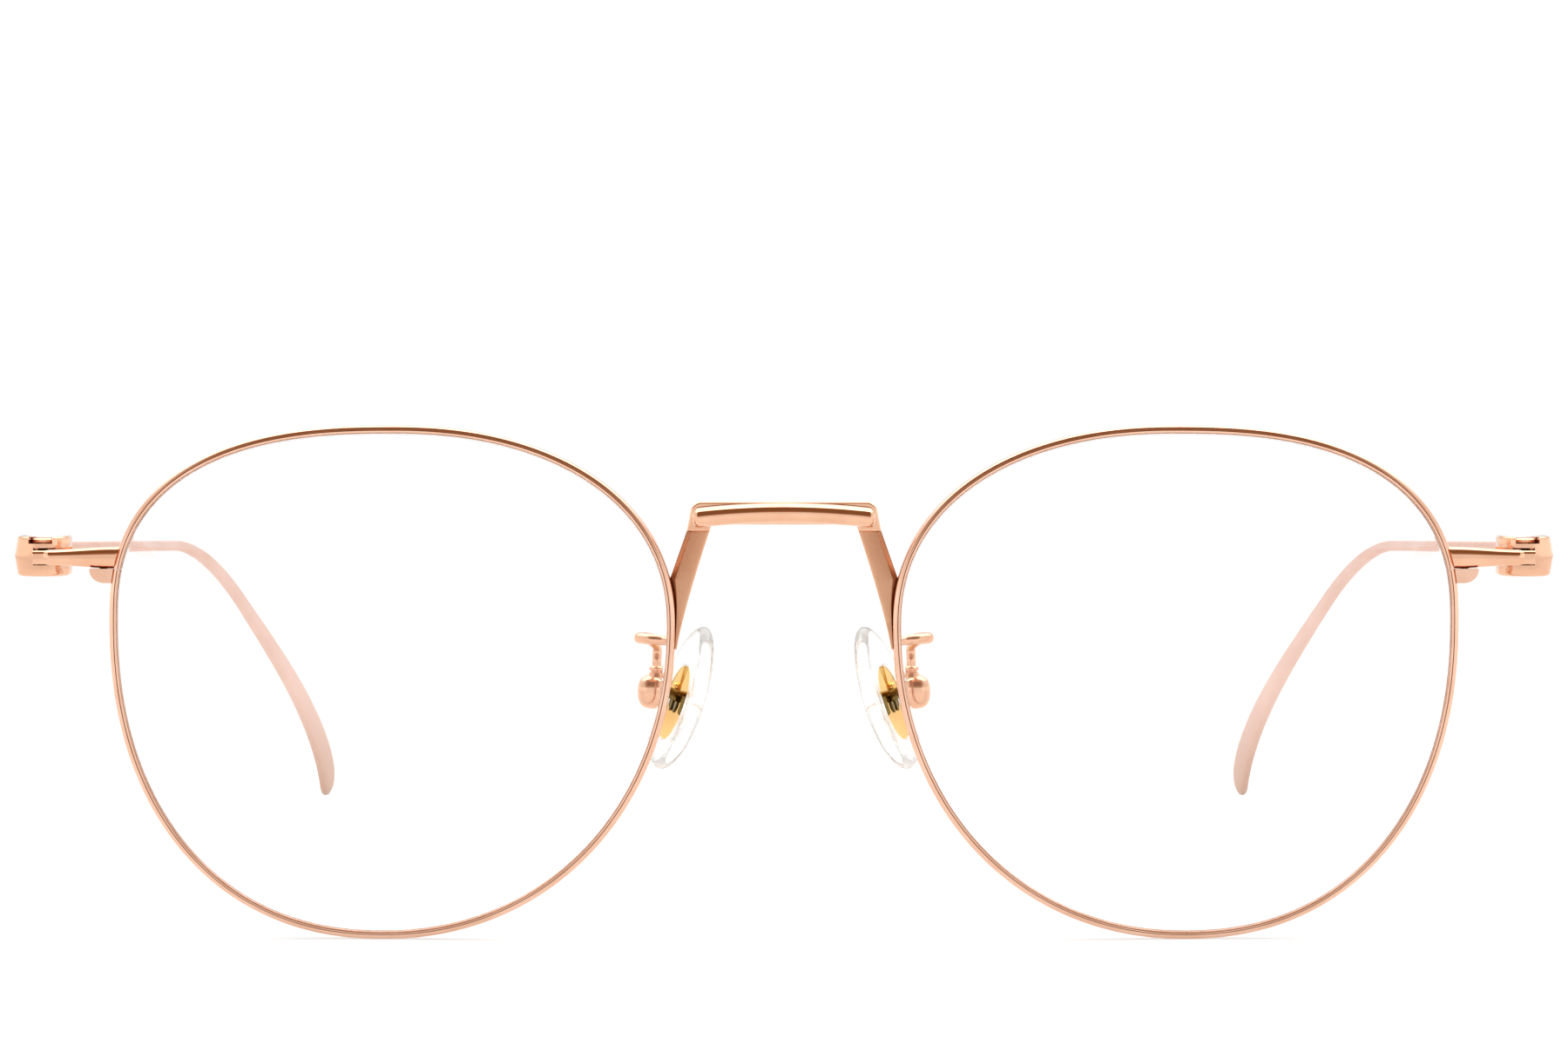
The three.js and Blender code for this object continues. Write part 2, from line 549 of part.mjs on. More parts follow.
function templeHead() {
  const neck = WIRE_DIAMETER * 0.75;
  const plan = [];
  for (let i = 0; i <= 10; i += 1) {
    const angle = Math.PI + (i / 10) * Math.PI;
    plan.push([DRUM_RADIUS * Math.cos(angle), DRUM_RADIUS * Math.sin(angle)]);
  }
  plan.push([DRUM_RADIUS, HEAD_LENGTH * 0.45]);
  plan.push([DRUM_RADIUS * 0.82, HEAD_LENGTH * 0.8]);
  plan.push([TEMPLE_OFFSET + neck, HEAD_LENGTH]);
  plan.push([TEMPLE_OFFSET - neck, HEAD_LENGTH]);
  plan.push([-DRUM_RADIUS * 0.7, HEAD_LENGTH * 0.72]);
  plan.push([-DRUM_RADIUS, HEAD_LENGTH * 0.3]);
  const layer = (z, inset, ridge) => plan.map(([x, y]) => {
    const outer = ridge * THREE.MathUtils.smoothstep(x, 0, DRUM_RADIUS);
    const shrink = 1 - inset / DRUM_RADIUS;
    const depth = y > 0 ? y : y * shrink;
    return new THREE.Vector3(hingeX + x * shrink + outer, hingeY + depth, z);
  });
  const edge = 0.15;
  const body = loft([
    layer(headLow, edge, 0), layer(headLow + edge, 0, 0), layer(hingeHeight, 0, HEAD_RIDGE),
    layer(headHigh - edge, 0, 0), layer(headHigh, edge, 0),
  ]);
  const far = DRUM_RADIUS + 2;
  const gap = TONGUE_EYE_RADIUS + TONGUE_CLEARANCE;
  const slotTools = [
    post(gap, lugLow, lugHigh, hingeX, hingeY),
    block([hingeX - far, hingeY - far, lugLow], [hingeX + ARM_PAST_AXIS + 0.2, hingeY, lugHigh]),
    block([hingeX - far, hingeY - far, lugLow], [hingeX, hingeY + gap, lugHigh]),
  ];
  const notch = block(
    [hingeX - NOTCH_HALF_WIDTH, hingeY - far, screwSeat],
    [hingeX + NOTCH_HALF_WIDTH, hingeY, headHigh + 1],
  );
  const counterbore = post(HINGE_SCREW_HEAD_RADIUS + 0.1, screwSeat, headHigh + 1, hingeX, hingeY);
  const bore = post(HINGE_SCREW_RADIUS + SCREW_RUNNING_FIT, headLow - 1, headHigh + 1, hingeX, hingeY);
  // Behind the drum the head thins on sloping faces towards the height at which the wire leaves
  const wedge = (level, away, loss) => {
    const steepness = loss / (HEAD_LENGTH - HEAD_TAPER_START);
    const rear = HEAD_LENGTH + 1;
    const end = level - away * steepness * (rear - HEAD_TAPER_START);
    const start = HEAD_TAPER_START;
    const outline = [[start, level], [rear, end], [rear, level + away], [start, level + away]];
    const sides = [hingeX - far, hingeX + far];
    return loft(sides.map((x) => outline.map(([y, z]) => new THREE.Vector3(x, hingeY + y, z))));
  };
  const lost = (HEAD_TAPER * HEAD_HEIGHT) / 2;
  const slopes = [wedge(headHigh, 1, lost - TEMPLE_RISE), wedge(headLow, -1, lost + TEMPLE_RISE)];
  return cut(body, ...slotTools, notch, counterbore, bore, ...slopes);
}

function hingeScrew() {
  const lowest = headLow + 0.1;
  const seat = screwSeat + 0.05;
  const profile = [
    [0, lowest], [HINGE_SCREW_RADIUS - 0.12, lowest], [HINGE_SCREW_RADIUS, lowest + 0.12],
    [HINGE_SCREW_RADIUS, seat], [HINGE_SCREW_HEAD_RADIUS, seat],
    [HINGE_SCREW_HEAD_RADIUS, screwHeadTop - 0.12], [HINGE_SCREW_HEAD_RADIUS - 0.15, screwHeadTop],
    [0, screwHeadTop],
  ];
  return cut(
    turned(profile, hingeX, hingeY, 0),
    screwSlot(hingeX, hingeY, screwHeadTop, HINGE_SCREW_HEAD_RADIUS),
  );
}

// Runs of constant curvature, followed one after the other
const templeRuns = [
  { length: TEMPLE_STRAIGHT, bend: 0 },
  { length: EAR_BEND_RADIUS * EAR_BEND_ANGLE, bend: EAR_BEND_ANGLE },
  { length: TAIL_STRAIGHT, bend: 0 },
  { length: TAIL_CURL_RADIUS * TAIL_CURL_ANGLE, bend: TAIL_CURL_ANGLE },
];
const templeLength = templeRuns.reduce((sum, run) => sum + run.length, 0);

// Centre line of the temple: its place, and how steeply it falls there
function templeStation(distance) {
  let [y, z, angle, left] = [hingeY + HEAD_LENGTH + SEAM, hingeHeight + TEMPLE_RISE, TEMPLE_SLOPE, distance];
  for (const run of templeRuns) {
    const part = Math.min(left, run.length);
    if (run.bend === 0) {
      y += part * Math.cos(angle);
      z -= part * Math.sin(angle);
    } else {
      const radius = run.length / run.bend;
      const next = angle + part / radius;
      y += radius * (Math.sin(next) - Math.sin(angle));
      z -= radius * (Math.cos(angle) - Math.cos(next));
      angle = next;
    }
    left -= part;
    if (left <= 0) break;
  }
  const past = (distance - TAIL_INWARD_START) / (templeLength - TAIL_INWARD_START);
  const inward = THREE.MathUtils.clamp(past, 0, 1);
  const x = hingeX + TEMPLE_OFFSET - (TAIL_INWARD * (1 - Math.cos(Math.PI * inward))) / 2;
  return { point: new THREE.Vector3(x, y, z), angle };
}

// Half width of the wire in its side plane: round wire, then a paddle with a round end
function templeHalfWidth(distance) {
  const left = templeLength - distance;
  const share = THREE.MathUtils.clamp(1 - left / PADDLE_LENGTH, 0, 1);
  const half = (WIRE_DIAMETER + (PADDLE_WIDTH - WIRE_DIAMETER) * share ** 1.25) / 2;
  const nose = PADDLE_WIDTH * 0.55;
  return left < nose ? half * Math.sqrt(Math.max(0, 1 - (1 - left / nose) ** 2)) : half;
}

function temple() {
  const sides = 10;
  const ring = (distance) => {
    const { point, angle } = templeStation(distance);
    const across = new THREE.Vector3(0, Math.sin(angle), Math.cos(angle));
    const half = Math.max(templeHalfWidth(distance), 0.3);
    const share = THREE.MathUtils.clamp(1 - (templeLength - distance) / PADDLE_LENGTH, 0, 1);
    const thick = THREE.MathUtils.lerp(WIRE_DIAMETER, PADDLE_THICKNESS, share) / 2;
    return Array.from({ length: sides }, (_, j) => {
      const turn = (j / sides) * 2 * Math.PI;
      const offset = across.clone().multiplyScalar(half * Math.sin(turn));
      return point.clone().add(offset).add(new THREE.Vector3(thick * Math.cos(turn), 0, 0));
    });
  };
  const tail = templeLength - TEMPLE_STRAIGHT;
  const distances = [
    ...Array.from({ length: 6 }, (_, i) => (i / 6) * TEMPLE_STRAIGHT),
    ...Array.from({ length: 18 }, (_, i) => TEMPLE_STRAIGHT + (i / 18) * (tail - 3)),
    ...[3, 1.9, 1.0, 0.4, 0.1].map((left) => templeLength - left),
  ];
  return loft(distances.map(ring));
}

// ---- Pad arm, pad box, pad, its core and screw -------------------------------------------------
const padSide = rimPoint(PAD_ARM_RISE, 1);
const padBoxMiddle = new THREE.Vector3(
  rimPoint(PAD_BOX_RISE, 1).x + PAD_BOX_OUT, PAD_BOX_BACK, eyeMiddle.z + PAD_BOX_RISE,
);
const padBoxTop = padBoxMiddle.z + PAD_BOX.height / 2;
const padPivot = padBoxMiddle.clone().add(new THREE.Vector3(-PAD_PIVOT_OFFSET, 0, 0));

function padArm() {
  const x = padSide.x;
  const z = padSide.z;
  const back = padSide.y + RIM_DEPTH / 2 + SEAM;
  const stemX = padBoxMiddle.x - PAD_STEM_OFFSET;
  const neckTop = padBoxTop + PAD_NECK_HEIGHT + SEAM;
  const far = x + PAD_LOOP_REACH;
  const near = back + PAD_LOOP_BACK;
  const middle = near + PAD_LOOP_DEPTH / 2;
  const path = new THREE.CatmullRomCurve3([
    new THREE.Vector3(x, back, z),
    new THREE.Vector3(x, back + 0.5 * PAD_LOOP_BACK, z),
    new THREE.Vector3(x + 0.9, near, z),
    new THREE.Vector3(far - PAD_LOOP_DEPTH / 2, near + 0.05, z),
    new THREE.Vector3(far, middle, z),
    new THREE.Vector3(far - PAD_LOOP_DEPTH / 2, near + PAD_LOOP_DEPTH, z),
    new THREE.Vector3(stemX + 0.5, near + PAD_LOOP_DEPTH + 0.2, z - 0.05),
    new THREE.Vector3(stemX, PAD_BOX_BACK, z - 0.8),
    new THREE.Vector3(stemX, PAD_BOX_BACK, neckTop + 0.5),
    new THREE.Vector3(stemX, PAD_BOX_BACK, neckTop),
  ], false, 'centripetal');
  const section = new THREE.Shape().absarc(0, 0, PAD_ARM_RADIUS, 0, 2 * Math.PI);
  return new THREE.ExtrudeGeometry(section, { steps: 30, curveSegments: 4, extrudePath: path });
}

function padBox() {
  const { width, depth, height, corner } = PAD_BOX;
  const [halfWidth, halfHeight] = [width / 2, height / 2];
  const soft = 0.35;
  const [w, h, r] = [halfWidth - soft, halfHeight - soft, corner - soft];
  const shape = new THREE.Shape();
  shape.moveTo(-w + r, -h);
  shape.lineTo(w - r, -h);
  shape.absarc(w - r, -h + r, r, -Math.PI / 2, 0);
  shape.absarc(w - r, h - r, r, 0, Math.PI / 2);
  shape.absarc(-w + r, h - r, r, Math.PI / 2, Math.PI);
  shape.absarc(-w + r, -h + r, r, Math.PI, 1.5 * Math.PI);
  const drum = new THREE.ExtrudeGeometry(shape, {
    depth: depth - 2 * soft, curveSegments: 3, bevelThickness: soft, bevelSize: soft, bevelSegments: 2,
  });
  const { x, y, z } = padBoxMiddle;
  drum.rotateX(Math.PI / 2).translate(x, y + depth / 2 - soft, z);
  const ridge = PAD_NECK_RADIUS;
  const groove = ridge - 0.14;
  const step = PAD_NECK_HEIGHT / 4;
  const neck = turned([
    [0, -0.6], [ridge, -0.6], [ridge, step], [groove, 1.5 * step], [groove, 1.9 * step], [ridge, 2.3 * step],
    [ridge, 3.2 * step], [groove, PAD_NECK_HEIGHT], [0, PAD_NECK_HEIGHT],
  ], x - PAD_STEM_OFFSET, y, padBoxTop, 12);
  const gap = PAD_LUG_THICKNESS / 2 + PAD_LUG_CLEARANCE;
  const deep = PAD_LUG_RADIUS + PAD_LUG_CLEARANCE;
  const mouth = block([x - width, y - gap, z - deep - 0.35], [padPivot.x, y + gap, z + deep + 0.35]);
  const round = padPost(deep, -gap, gap, 16);
  const hole = padPost(PAD_SCREW_RADIUS + SEAM, -depth, depth, 16);
  const seat = padPost(PAD_SCREW_HEAD_RADIUS + SEAM, depth / 2 - 0.3, depth, 16);
  return cut(joined(drum, neck), mouth, round, hole, seat);
}

// A post along Y through the pad's pivot, between two distances from the box's middle
function padPost(radius, low, high, segments) {
  const upright = turned([[0, low], [radius, low], [radius, high], [0, high]], 0, 0, 0, segments);
  return upright.rotateX(-Math.PI / 2).translate(padPivot.x, padPivot.y, padPivot.z);
}

function padScrew() {
  const depth = PAD_BOX.depth;
  const headUnder = depth / 2 - 0.25;
  const profile = [
    [0, -depth / 2 + 0.15], [PAD_SCREW_RADIUS, -depth / 2 + 0.15], [PAD_SCREW_RADIUS, headUnder],
    [PAD_SCREW_HEAD_RADIUS, headUnder], [PAD_SCREW_HEAD_RADIUS, depth / 2], [0, depth / 2 + 0.08],
  ];
  const upright = turned(profile, 0, 0, 0, 16);
  const slot = screwSlot(0, 0, depth / 2, PAD_SCREW_HEAD_RADIUS);
  return cut(upright, slot).rotateX(-Math.PI / 2).translate(padPivot.x, padPivot.y, padPivot.z);
}

// Pad frame: x is the thickness towards the nose, y the width, z the height
const padMiddle = padPivot.clone().add(new THREE.Vector3(-PAD_INWARD, PAD_BACK, -PAD_DROP));

function inPadFrame(geometry) {
  geometry.rotateZ(-PAD_SPLAY).rotateY(-PAD_FRONTAL);
  return geometry.translate(padMiddle.x, padMiddle.y, padMiddle.z);
}

// Oval cushion: the side towards the nose is full, the other nearly flat
function padOval(height, width, toNose, away) {
  const steps = 26;
  const ring = (share, x) =>
    Array.from({ length: steps }, (_, i) => {
      const angle = (i / steps) * 2 * Math.PI;
      const narrow = 1 - 0.1 * Math.sin(angle);
      const y = (width / 2) * share * Math.cos(angle) * narrow;
      return new THREE.Vector3(x, y, (height / 2) * share * Math.sin(angle));
    });
  const crown = [[0.55, 0.9], [0.84, 0.6], [0.97, 0.25], [1, 0]];
  const layers = crown.map(([share, rise]) => [share, -toNose * rise]);
  const backs = [[0.96, 0.5], [0.82, 1]].map(([share, rise]) => [share, away * rise]);
  return loft([...layers, ...backs].map(([share, x]) => ring(share, x)), {
    startPole: new THREE.Vector3(-toNose, 0, 0),
  });
}

// The core's oval plate, or the pocket that it lies in, from x = 0 towards the nose
function coreOval(grow, depth) {
  const shape = new THREE.Shape();
  shape.absellipse(0, 0, CORE_HEIGHT / 2 + grow, CORE_WIDTH / 2 + grow, 0, 2 * Math.PI);
  const plate = new THREE.ExtrudeGeometry(shape, { depth, bevelEnabled: false, curveSegments: 12 });
  return plate.rotateY(-Math.PI / 2);
}

const padAway = PAD_THICKNESS * 0.35;
const coreFace = padAway - CORE_THICKNESS * 0.4; // the core's outer face lies just inside the pad's back

function nosePad() {
  const oval = padOval(PAD_HEIGHT, PAD_WIDTH, PAD_THICKNESS - padAway, padAway);
  const room = CORE_THICKNESS + CORE_POCKET_CLEARANCE;
  const pocket = coreOval(CORE_POCKET_CLEARANCE, room + 2).translate(coreFace + 2, 0, 0);
  return inPadFrame(cut(oval, pocket));
}

function padCore() {
  const plate = inPadFrame(coreOval(0, CORE_THICKNESS).translate(coreFace, 0, 0));
  const eye = padPost(PAD_LUG_RADIUS, -PAD_LUG_THICKNESS / 2, PAD_LUG_THICKNESS / 2, 20);
  // A stalk from the plate's face to the eye on the screw
  const root = new THREE.Vector3(coreFace - CORE_THICKNESS / 2, 0, 0);
  root.applyAxisAngle(new THREE.Vector3(0, 0, 1), -PAD_SPLAY);
  root.applyAxisAngle(new THREE.Vector3(0, 1, 0), -PAD_FRONTAL).add(padMiddle);
  const half = PAD_LUG_THICKNESS / 2;
  const tall = PAD_LUG_RADIUS * 0.8;
  const ring = (at) => [[-half, -tall], [half, -tall], [half, tall], [-half, tall]].map(([y, z]) =>
    new THREE.Vector3(at.x, at.y + y, at.z + z));
  const bend = padPivot.clone().add(new THREE.Vector3(-PAD_LUG_RADIUS - 0.6, 0, 0));
  const stalk = loft([ring(padPivot), ring(bend), ring(root)]);
  const hole = padPost(PAD_SCREW_RADIUS + SCREW_RUNNING_FIT, -1, 1, 16);
  return cut(joined(plate, eye, stalk), hole);
}

// ---- Assembly ----------------------------------------------------------------------------------
const pair = new THREE.Group();

function addPiece(name, geometry, material) {
  const mesh = new THREE.Mesh(geometry, material);
  mesh.name = name;
  pair.add(mesh);
}

addPiece('bridge_bar', bridgeBar(), polishedRoseGold());
addPiece('bridge_strap', bridgeStrap(), polishedRoseGold());

const sidePieces = [
  ['rim', rim, polishedRoseGold],
  ['lens', lens, lensMaterial],
  ['bridge_leg', bridgeLeg, polishedRoseGold],
  ['end_piece', endPiece, polishedRoseGold],
  ['rim_lock', rimLock, polishedRoseGold],
  ['rim_screw', rimScrew, polishedRoseGold],
  ['pad_arm', padArm, polishedRoseGold],
  ['pad_box', padBox, polishedRoseGold],
  ['pad_screw', padScrew, yellowGold],
  ['nose_pad', nosePad, padMaterial],
  ['pad_core', padCore, yellowGold],
  ['temple_head', templeHead, polishedRoseGold],
  ['hinge_screw', hingeScrew, polishedRoseGold],
  ['temple', temple, satinRoseGold],
];

for (const [name, shape, material] of sidePieces) {
  const geometry = shape();
  addPiece(`left_${name}`, geometry, material());
  addPiece(`right_${name}`, mirrored(geometry), material());
}

// The origin is the middle of the pair's box, on the surface that it stands on
const glasses = new THREE.Group();
glasses.add(pair);
const box = new THREE.Box3().setFromObject(pair);
pair.position.set(0, -(box.min.y + box.max.y) / 2, -box.min.z);

export default glasses;
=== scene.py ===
"""Round wire eyeglasses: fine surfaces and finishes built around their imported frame."""

from bisect import bisect_left
from math import atan2, copysign, cos, pi, radians, sin, sqrt
from types import SimpleNamespace

import bmesh
import bpy
from bpy.props import FloatProperty, FloatVectorProperty, PointerProperty
from mathutils import Matrix, Vector


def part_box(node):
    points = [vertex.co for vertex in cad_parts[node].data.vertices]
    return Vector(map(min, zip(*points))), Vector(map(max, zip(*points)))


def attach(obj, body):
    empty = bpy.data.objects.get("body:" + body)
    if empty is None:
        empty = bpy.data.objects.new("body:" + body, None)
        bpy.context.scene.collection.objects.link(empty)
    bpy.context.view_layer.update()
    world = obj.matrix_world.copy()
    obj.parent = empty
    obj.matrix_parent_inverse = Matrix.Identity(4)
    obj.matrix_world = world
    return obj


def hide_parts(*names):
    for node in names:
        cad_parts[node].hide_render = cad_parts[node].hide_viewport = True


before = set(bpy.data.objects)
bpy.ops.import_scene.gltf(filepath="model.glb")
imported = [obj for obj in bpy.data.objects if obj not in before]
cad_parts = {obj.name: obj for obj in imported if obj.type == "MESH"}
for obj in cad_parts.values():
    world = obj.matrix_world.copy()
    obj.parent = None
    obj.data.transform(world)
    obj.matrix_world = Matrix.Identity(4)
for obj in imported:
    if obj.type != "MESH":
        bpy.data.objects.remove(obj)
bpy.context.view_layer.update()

bl_info = {
    "name": "Round wire eyeglasses",
    "version": (1, 0, 0),
    "blender": (4, 5, 0),
    "location": "3D View > Sidebar > Eyeglasses",
    "description": "Builds the fine surfaces, finishes and studio of a packed pair of wire eyeglasses",
    "category": "Add Mesh",
}

MM = 0.001
SIDES = (("left", 1), ("right", -1))
BORE_PLAY = 0.06  # millimetres between a screw's shank and its bore, where it has to turn
HEAD_PLAY = 0.12  # and round a screw's head, or a plate in its pocket
BEYOND = 1  # cutting tools run this far past what they cut
TIP_TONE = 17  # the temples' deeper tone reaches this high above the floor
LOCK_SCREW, LOCK_SCREW_HEAD = 0.35, 0.55  # radii of the rim screws


# ---- Sizes and colours ----------------------------------------------------------------------------
def length(name, description, millimetres):
    return FloatProperty(name=name, description=description, default=millimetres * MM, unit="LENGTH")


def angle(name, description, degrees):
    return FloatProperty(name=name, description=description, default=radians(degrees), subtype="ANGLE")


def share(name, description, value):
    return FloatProperty(name=name, description=description, default=value)


def colour(name, description, red, green, blue):
    return FloatVectorProperty(
        name=name, description=description, default=(red, green, blue), subtype="COLOR", min=0, max=1
    )


class RimSizes(bpy.types.PropertyGroup):
    eye_width: length("Eye width", "Across the rim wire's centre line", 51.5)
    eye_height: length("Eye height", "Up the rim wire's centre line", 46.6)
    nose_gap: length("Nose gap", "Between the two centre lines at the nose", 20.7)
    top_shift: length("Top shift", "How far the highest point lies to the nose side", 0.3)
    bottom_shift: length("Bottom shift", "How far the lowest point lies to the nose side", -0.9)
    nasal_rise: length("Nasal rise", "The widest point at the nose, above the middle", 5.3)
    temporal_rise: length("Temporal rise", "The widest point at the temple, above the middle", 5.9)
    nasal_top: share("Nasal top", "Squareness of the upper quarter at the nose", 2.2)
    temporal_top: share("Temporal top", "Squareness of the upper quarter at the temple", 2.5)
    temporal_bottom: share("Temporal bottom", "Squareness of the lower quarter at the temple", 2.23)
    nasal_bottom: share("Nasal bottom", "Squareness of the lower quarter at the nose", 2.1)
    thickness: length("Wire thickness", "In the plane of the front", 0.74)
    depth: length("Wire depth", "Front to back", 1.5)
    crown: length("Crown", "How far the rounded front stands proud of its shoulders", 0.34)
    groove_depth: length("Groove depth", "Depth of the lens groove", 0.34)
    groove_half_width: length("Groove half width", "Half the groove's mouth", 0.45)
    base_radius: length("Base curve radius", "Radius of the sphere the lenses lie on", 133)
    wrap: angle("Wrap angle", "How far each eye turns back", 2)
    saw_cut: length("Saw cut", "The gap that lets the lens in", 0.08)
    line_at: length("Line place", "Engraved line in the front, outside the wire's middle", -0.07)
    line_width: length("Line width", "Engraved line", 0.075)
    line_depth: length("Line depth", "Engraved line", 0.05)


class LensSizes(bpy.types.PropertyGroup):
    thickness: length("Thickness", "Front to back at the middle", 1.8)
    front_bulge: length("Front bulge", "How far the front surface stands before the bevel's tip", 0.75)
    clearance: length("Clearance", "Between the lens's edge and the rim", 0.12)


class BridgeSizes(bpy.types.PropertyGroup):
    rise: length("Rise", "Bar's centre above the eye's middle", 15.4)
    bar_length: length("Bar length", "Over its rounded ends", 16.8)
    bar_radius: length("Bar radius", "Half its thickness", 0.92)
    bar_arch: length("Bar arch", "How far its middle stands above its ends", 0.5)
    bar_forward: length("Bar forward", "Bar's centre in front of the rims' middle", 0.85)
    strap_width: length("Strap width", "Over both arms", 17.9)
    strap_band: length("Strap band", "Width of the band and its arms", 2.1)
    strap_thickness: length("Strap thickness", "Front to back", 1.0)
    strap_above: length("Strap above bar", "How much shows over the bar", 0.3)
    strap_drop: length("Strap drop", "Its arms end this far below the bar's centre", 1.5)
    strap_corner: length("Strap corner", "Radius of its upper corners", 1.0)
    leg_thickness: length("Leg thickness", "At its top", 0.95)
    leg_tip: length("Leg tip", "Thickness at its tip", 0.75)
    leg_contact: length("Leg contact", "Height where the leg reaches the rim", 9.5)
    leg_bottom: length("Leg bottom", "Height of its tip", 3.1)
    leg_bulge: share("Leg bulge", "Bend of its inner edge", 1.2)
    seam: length("Seam", "Between pieces that are brazed face to face", 0.12)
    braze: length("Braze", "How far a brazed face runs into its neighbour", 0.05)
    strap_lean: length("Strap lean", "How far its arms spread towards their ends", 0.35)


class HingeSizes(bpy.types.PropertyGroup):
    rise: length("Rise", "Hinge's middle above the eye's middle", 11.45)
    arm_reach: length("Arm reach", "From the rim to the hinge axis", 7.1)
    arm_rim_height: length("Arm height at rim", "End piece's height where it leaves the rim", 2.0)
    arm_head_height: length("Arm height at head", "End piece's height at the hinge", 1.3)
    arm_front: length("Arm front", "Front face before the rim's middle", 0.9)
    arm_back: length("Arm back", "Back face behind the rim's middle", 0.75)
    arm_past: length("Arm past axis", "How far it runs past the hinge axis", 0.45)
    lock_length: length("Lock length", "Rim lock from the rim outwards", 2.3)
    lock_height: length("Lock height", "Rim lock's height", 1.2)
    lock_depth: length("Lock depth", "Rim lock front to back", 1.6)
    lock_parting: length("Lock parting", "Gap between the lock and the end piece", 0.15)
    axis_back: length("Axis back", "Hinge axis behind the rim's middle", 3.4)
    drum_radius: length("Drum radius", "Half the head's width", 2.45)
    head_height: length("Head height", "Temple head's height", 3.7)
    head_length: length("Head length", "From the axis to where the wire leaves", 5.6)
    head_ridge: length("Head ridge", "The low ridge on its outer face", 0.25)
    head_taper: share("Head taper", "Share of its height that it loses towards the wire", 0.5)
    taper_start: length("Taper start", "Where it starts to taper, behind the axis", 2.4)
    eye_radius: length("Tongue eye radius", "Round end of the end piece's tongue", 1.45)
    tongue_height: length("Tongue height", "Height of the end piece's tongue", 1.3)
    tongue_clearance: length("Tongue clearance", "Room for it in the head", 0.15)
    screw_radius: length("Screw radius", "Hinge screw's shank", 0.6)
    screw_head_radius: length("Screw head radius", "Hinge screw's head", 1.05)
    screw_head_height: length("Screw head height", "Hinge screw's head", 0.5)
    screw_sink: length("Screw sink", "The head lies this far below the drum's top", 0.15)
    notch_half_width: length("Notch half width", "Half the opening in the upper lug", 1.1)


class TempleSizes(bpy.types.PropertyGroup):
    straight: length("Straight", "From the head to the ear bend", 83)
    ear_radius: length("Ear bend radius", "Radius of the ear bend", 26)
    ear_angle: angle("Ear bend angle", "Turn of the ear bend", 41)
    tail: length("Tail", "Straight behind the ear bend", 29.55)
    curl_radius: length("Curl radius", "Radius of the tail's curl", 16)
    curl_angle: angle("Curl angle", "Turn of the tail's curl", 18)
    slope: angle("Slope", "How steeply the wire leaves the head", 2.6)
    rise: length("Rise", "The wire leaves the head above its middle", 0.42)
    offset: length("Offset", "And this far outside the axis", 0.3)
    inward: length("Tail inward", "How far the tip lies inside the head", 14.3)
    inward_start: length("Inward start", "Where the wire starts to turn inward", 70)
    wire: length("Wire diameter", "Round wire", 1.15)
    paddle_width: length("Paddle width", "Flattened tip", 5.0)
    paddle_length: length("Paddle length", "The wire widens over this length", 52)
    paddle_twist: angle("Paddle twist", "The tip's lower edge turns outward by this angle", 11)


class PadSizes(bpy.types.PropertyGroup):
    arm_radius: length("Arm radius", "Pad arm's wire", 0.45)
    arm_rise: length("Arm rise", "Loop above the eye's middle", 3.75)
    loop_reach: length("Loop reach", "The loop's far side from the rim's centre line", 3.0)
    loop_back: length("Loop back", "The loop's near side behind the rim", 1.25)
    loop_depth: length("Loop depth", "From its near side to its far side", 2.0)
    box_width: length("Box width", "Across", 2.7)
    box_depth: length("Box depth", "Front to back", 2.6)
    box_height: length("Box height", "Without its neck", 3.2)
    box_back: length("Box back", "Box's middle behind the rims' middle", 5.4)
    box_rise: length("Box rise", "Box's middle above the eye's middle", -1.25)
    box_out: length("Box out", "Box's middle outside the rim's centre line", 1.4)
    stem_offset: length("Stem offset", "The stem comes down nearer the rim than the box's middle", 0.45)
    pivot_offset: length("Pivot offset", "And so does the screw", 0.2)
    neck_radius: length("Neck radius", "Collar on the box", 0.72)
    neck_height: length("Neck height", "Collar on the box", 0.8)
    screw_radius: length("Screw radius", "Pad screw's shank", 0.35)
    screw_head_radius: length("Screw head radius", "Pad screw's head", 0.62)
    lug_thickness: length("Lug thickness", "Pad core's lug, front to back", 1.1)
    lug_radius: length("Lug radius", "Pad core's round end", 0.72)
    lug_clearance: length("Lug clearance", "Room for the lug in the box", 0.15)
    height: length("Pad height", "Nose pad", 14.0)
    width: length("Pad width", "Nose pad", 7.8)
    thickness: length("Pad thickness", "Nose pad", 2.3)
    splay: angle("Splay", "Turn about the upright", 25)
    frontal: angle("Frontal angle", "Lean seen from the front", 19)
    inward: length("Inward", "Pad's middle inside the lug's hole", 2.6)
    back: length("Back", "Behind it", 1.9)
    drop: length("Drop", "And below it", 0.75)
    core_height: length("Core height", "Metal plate in the pad", 7.2)
    core_width: length("Core width", "Metal plate in the pad", 4.5)
    core_drop: length("Core drop", "The plate's middle below the pad's", 0.6)
    core_thickness: length("Core thickness", "Metal plate in the pad", 0.6)


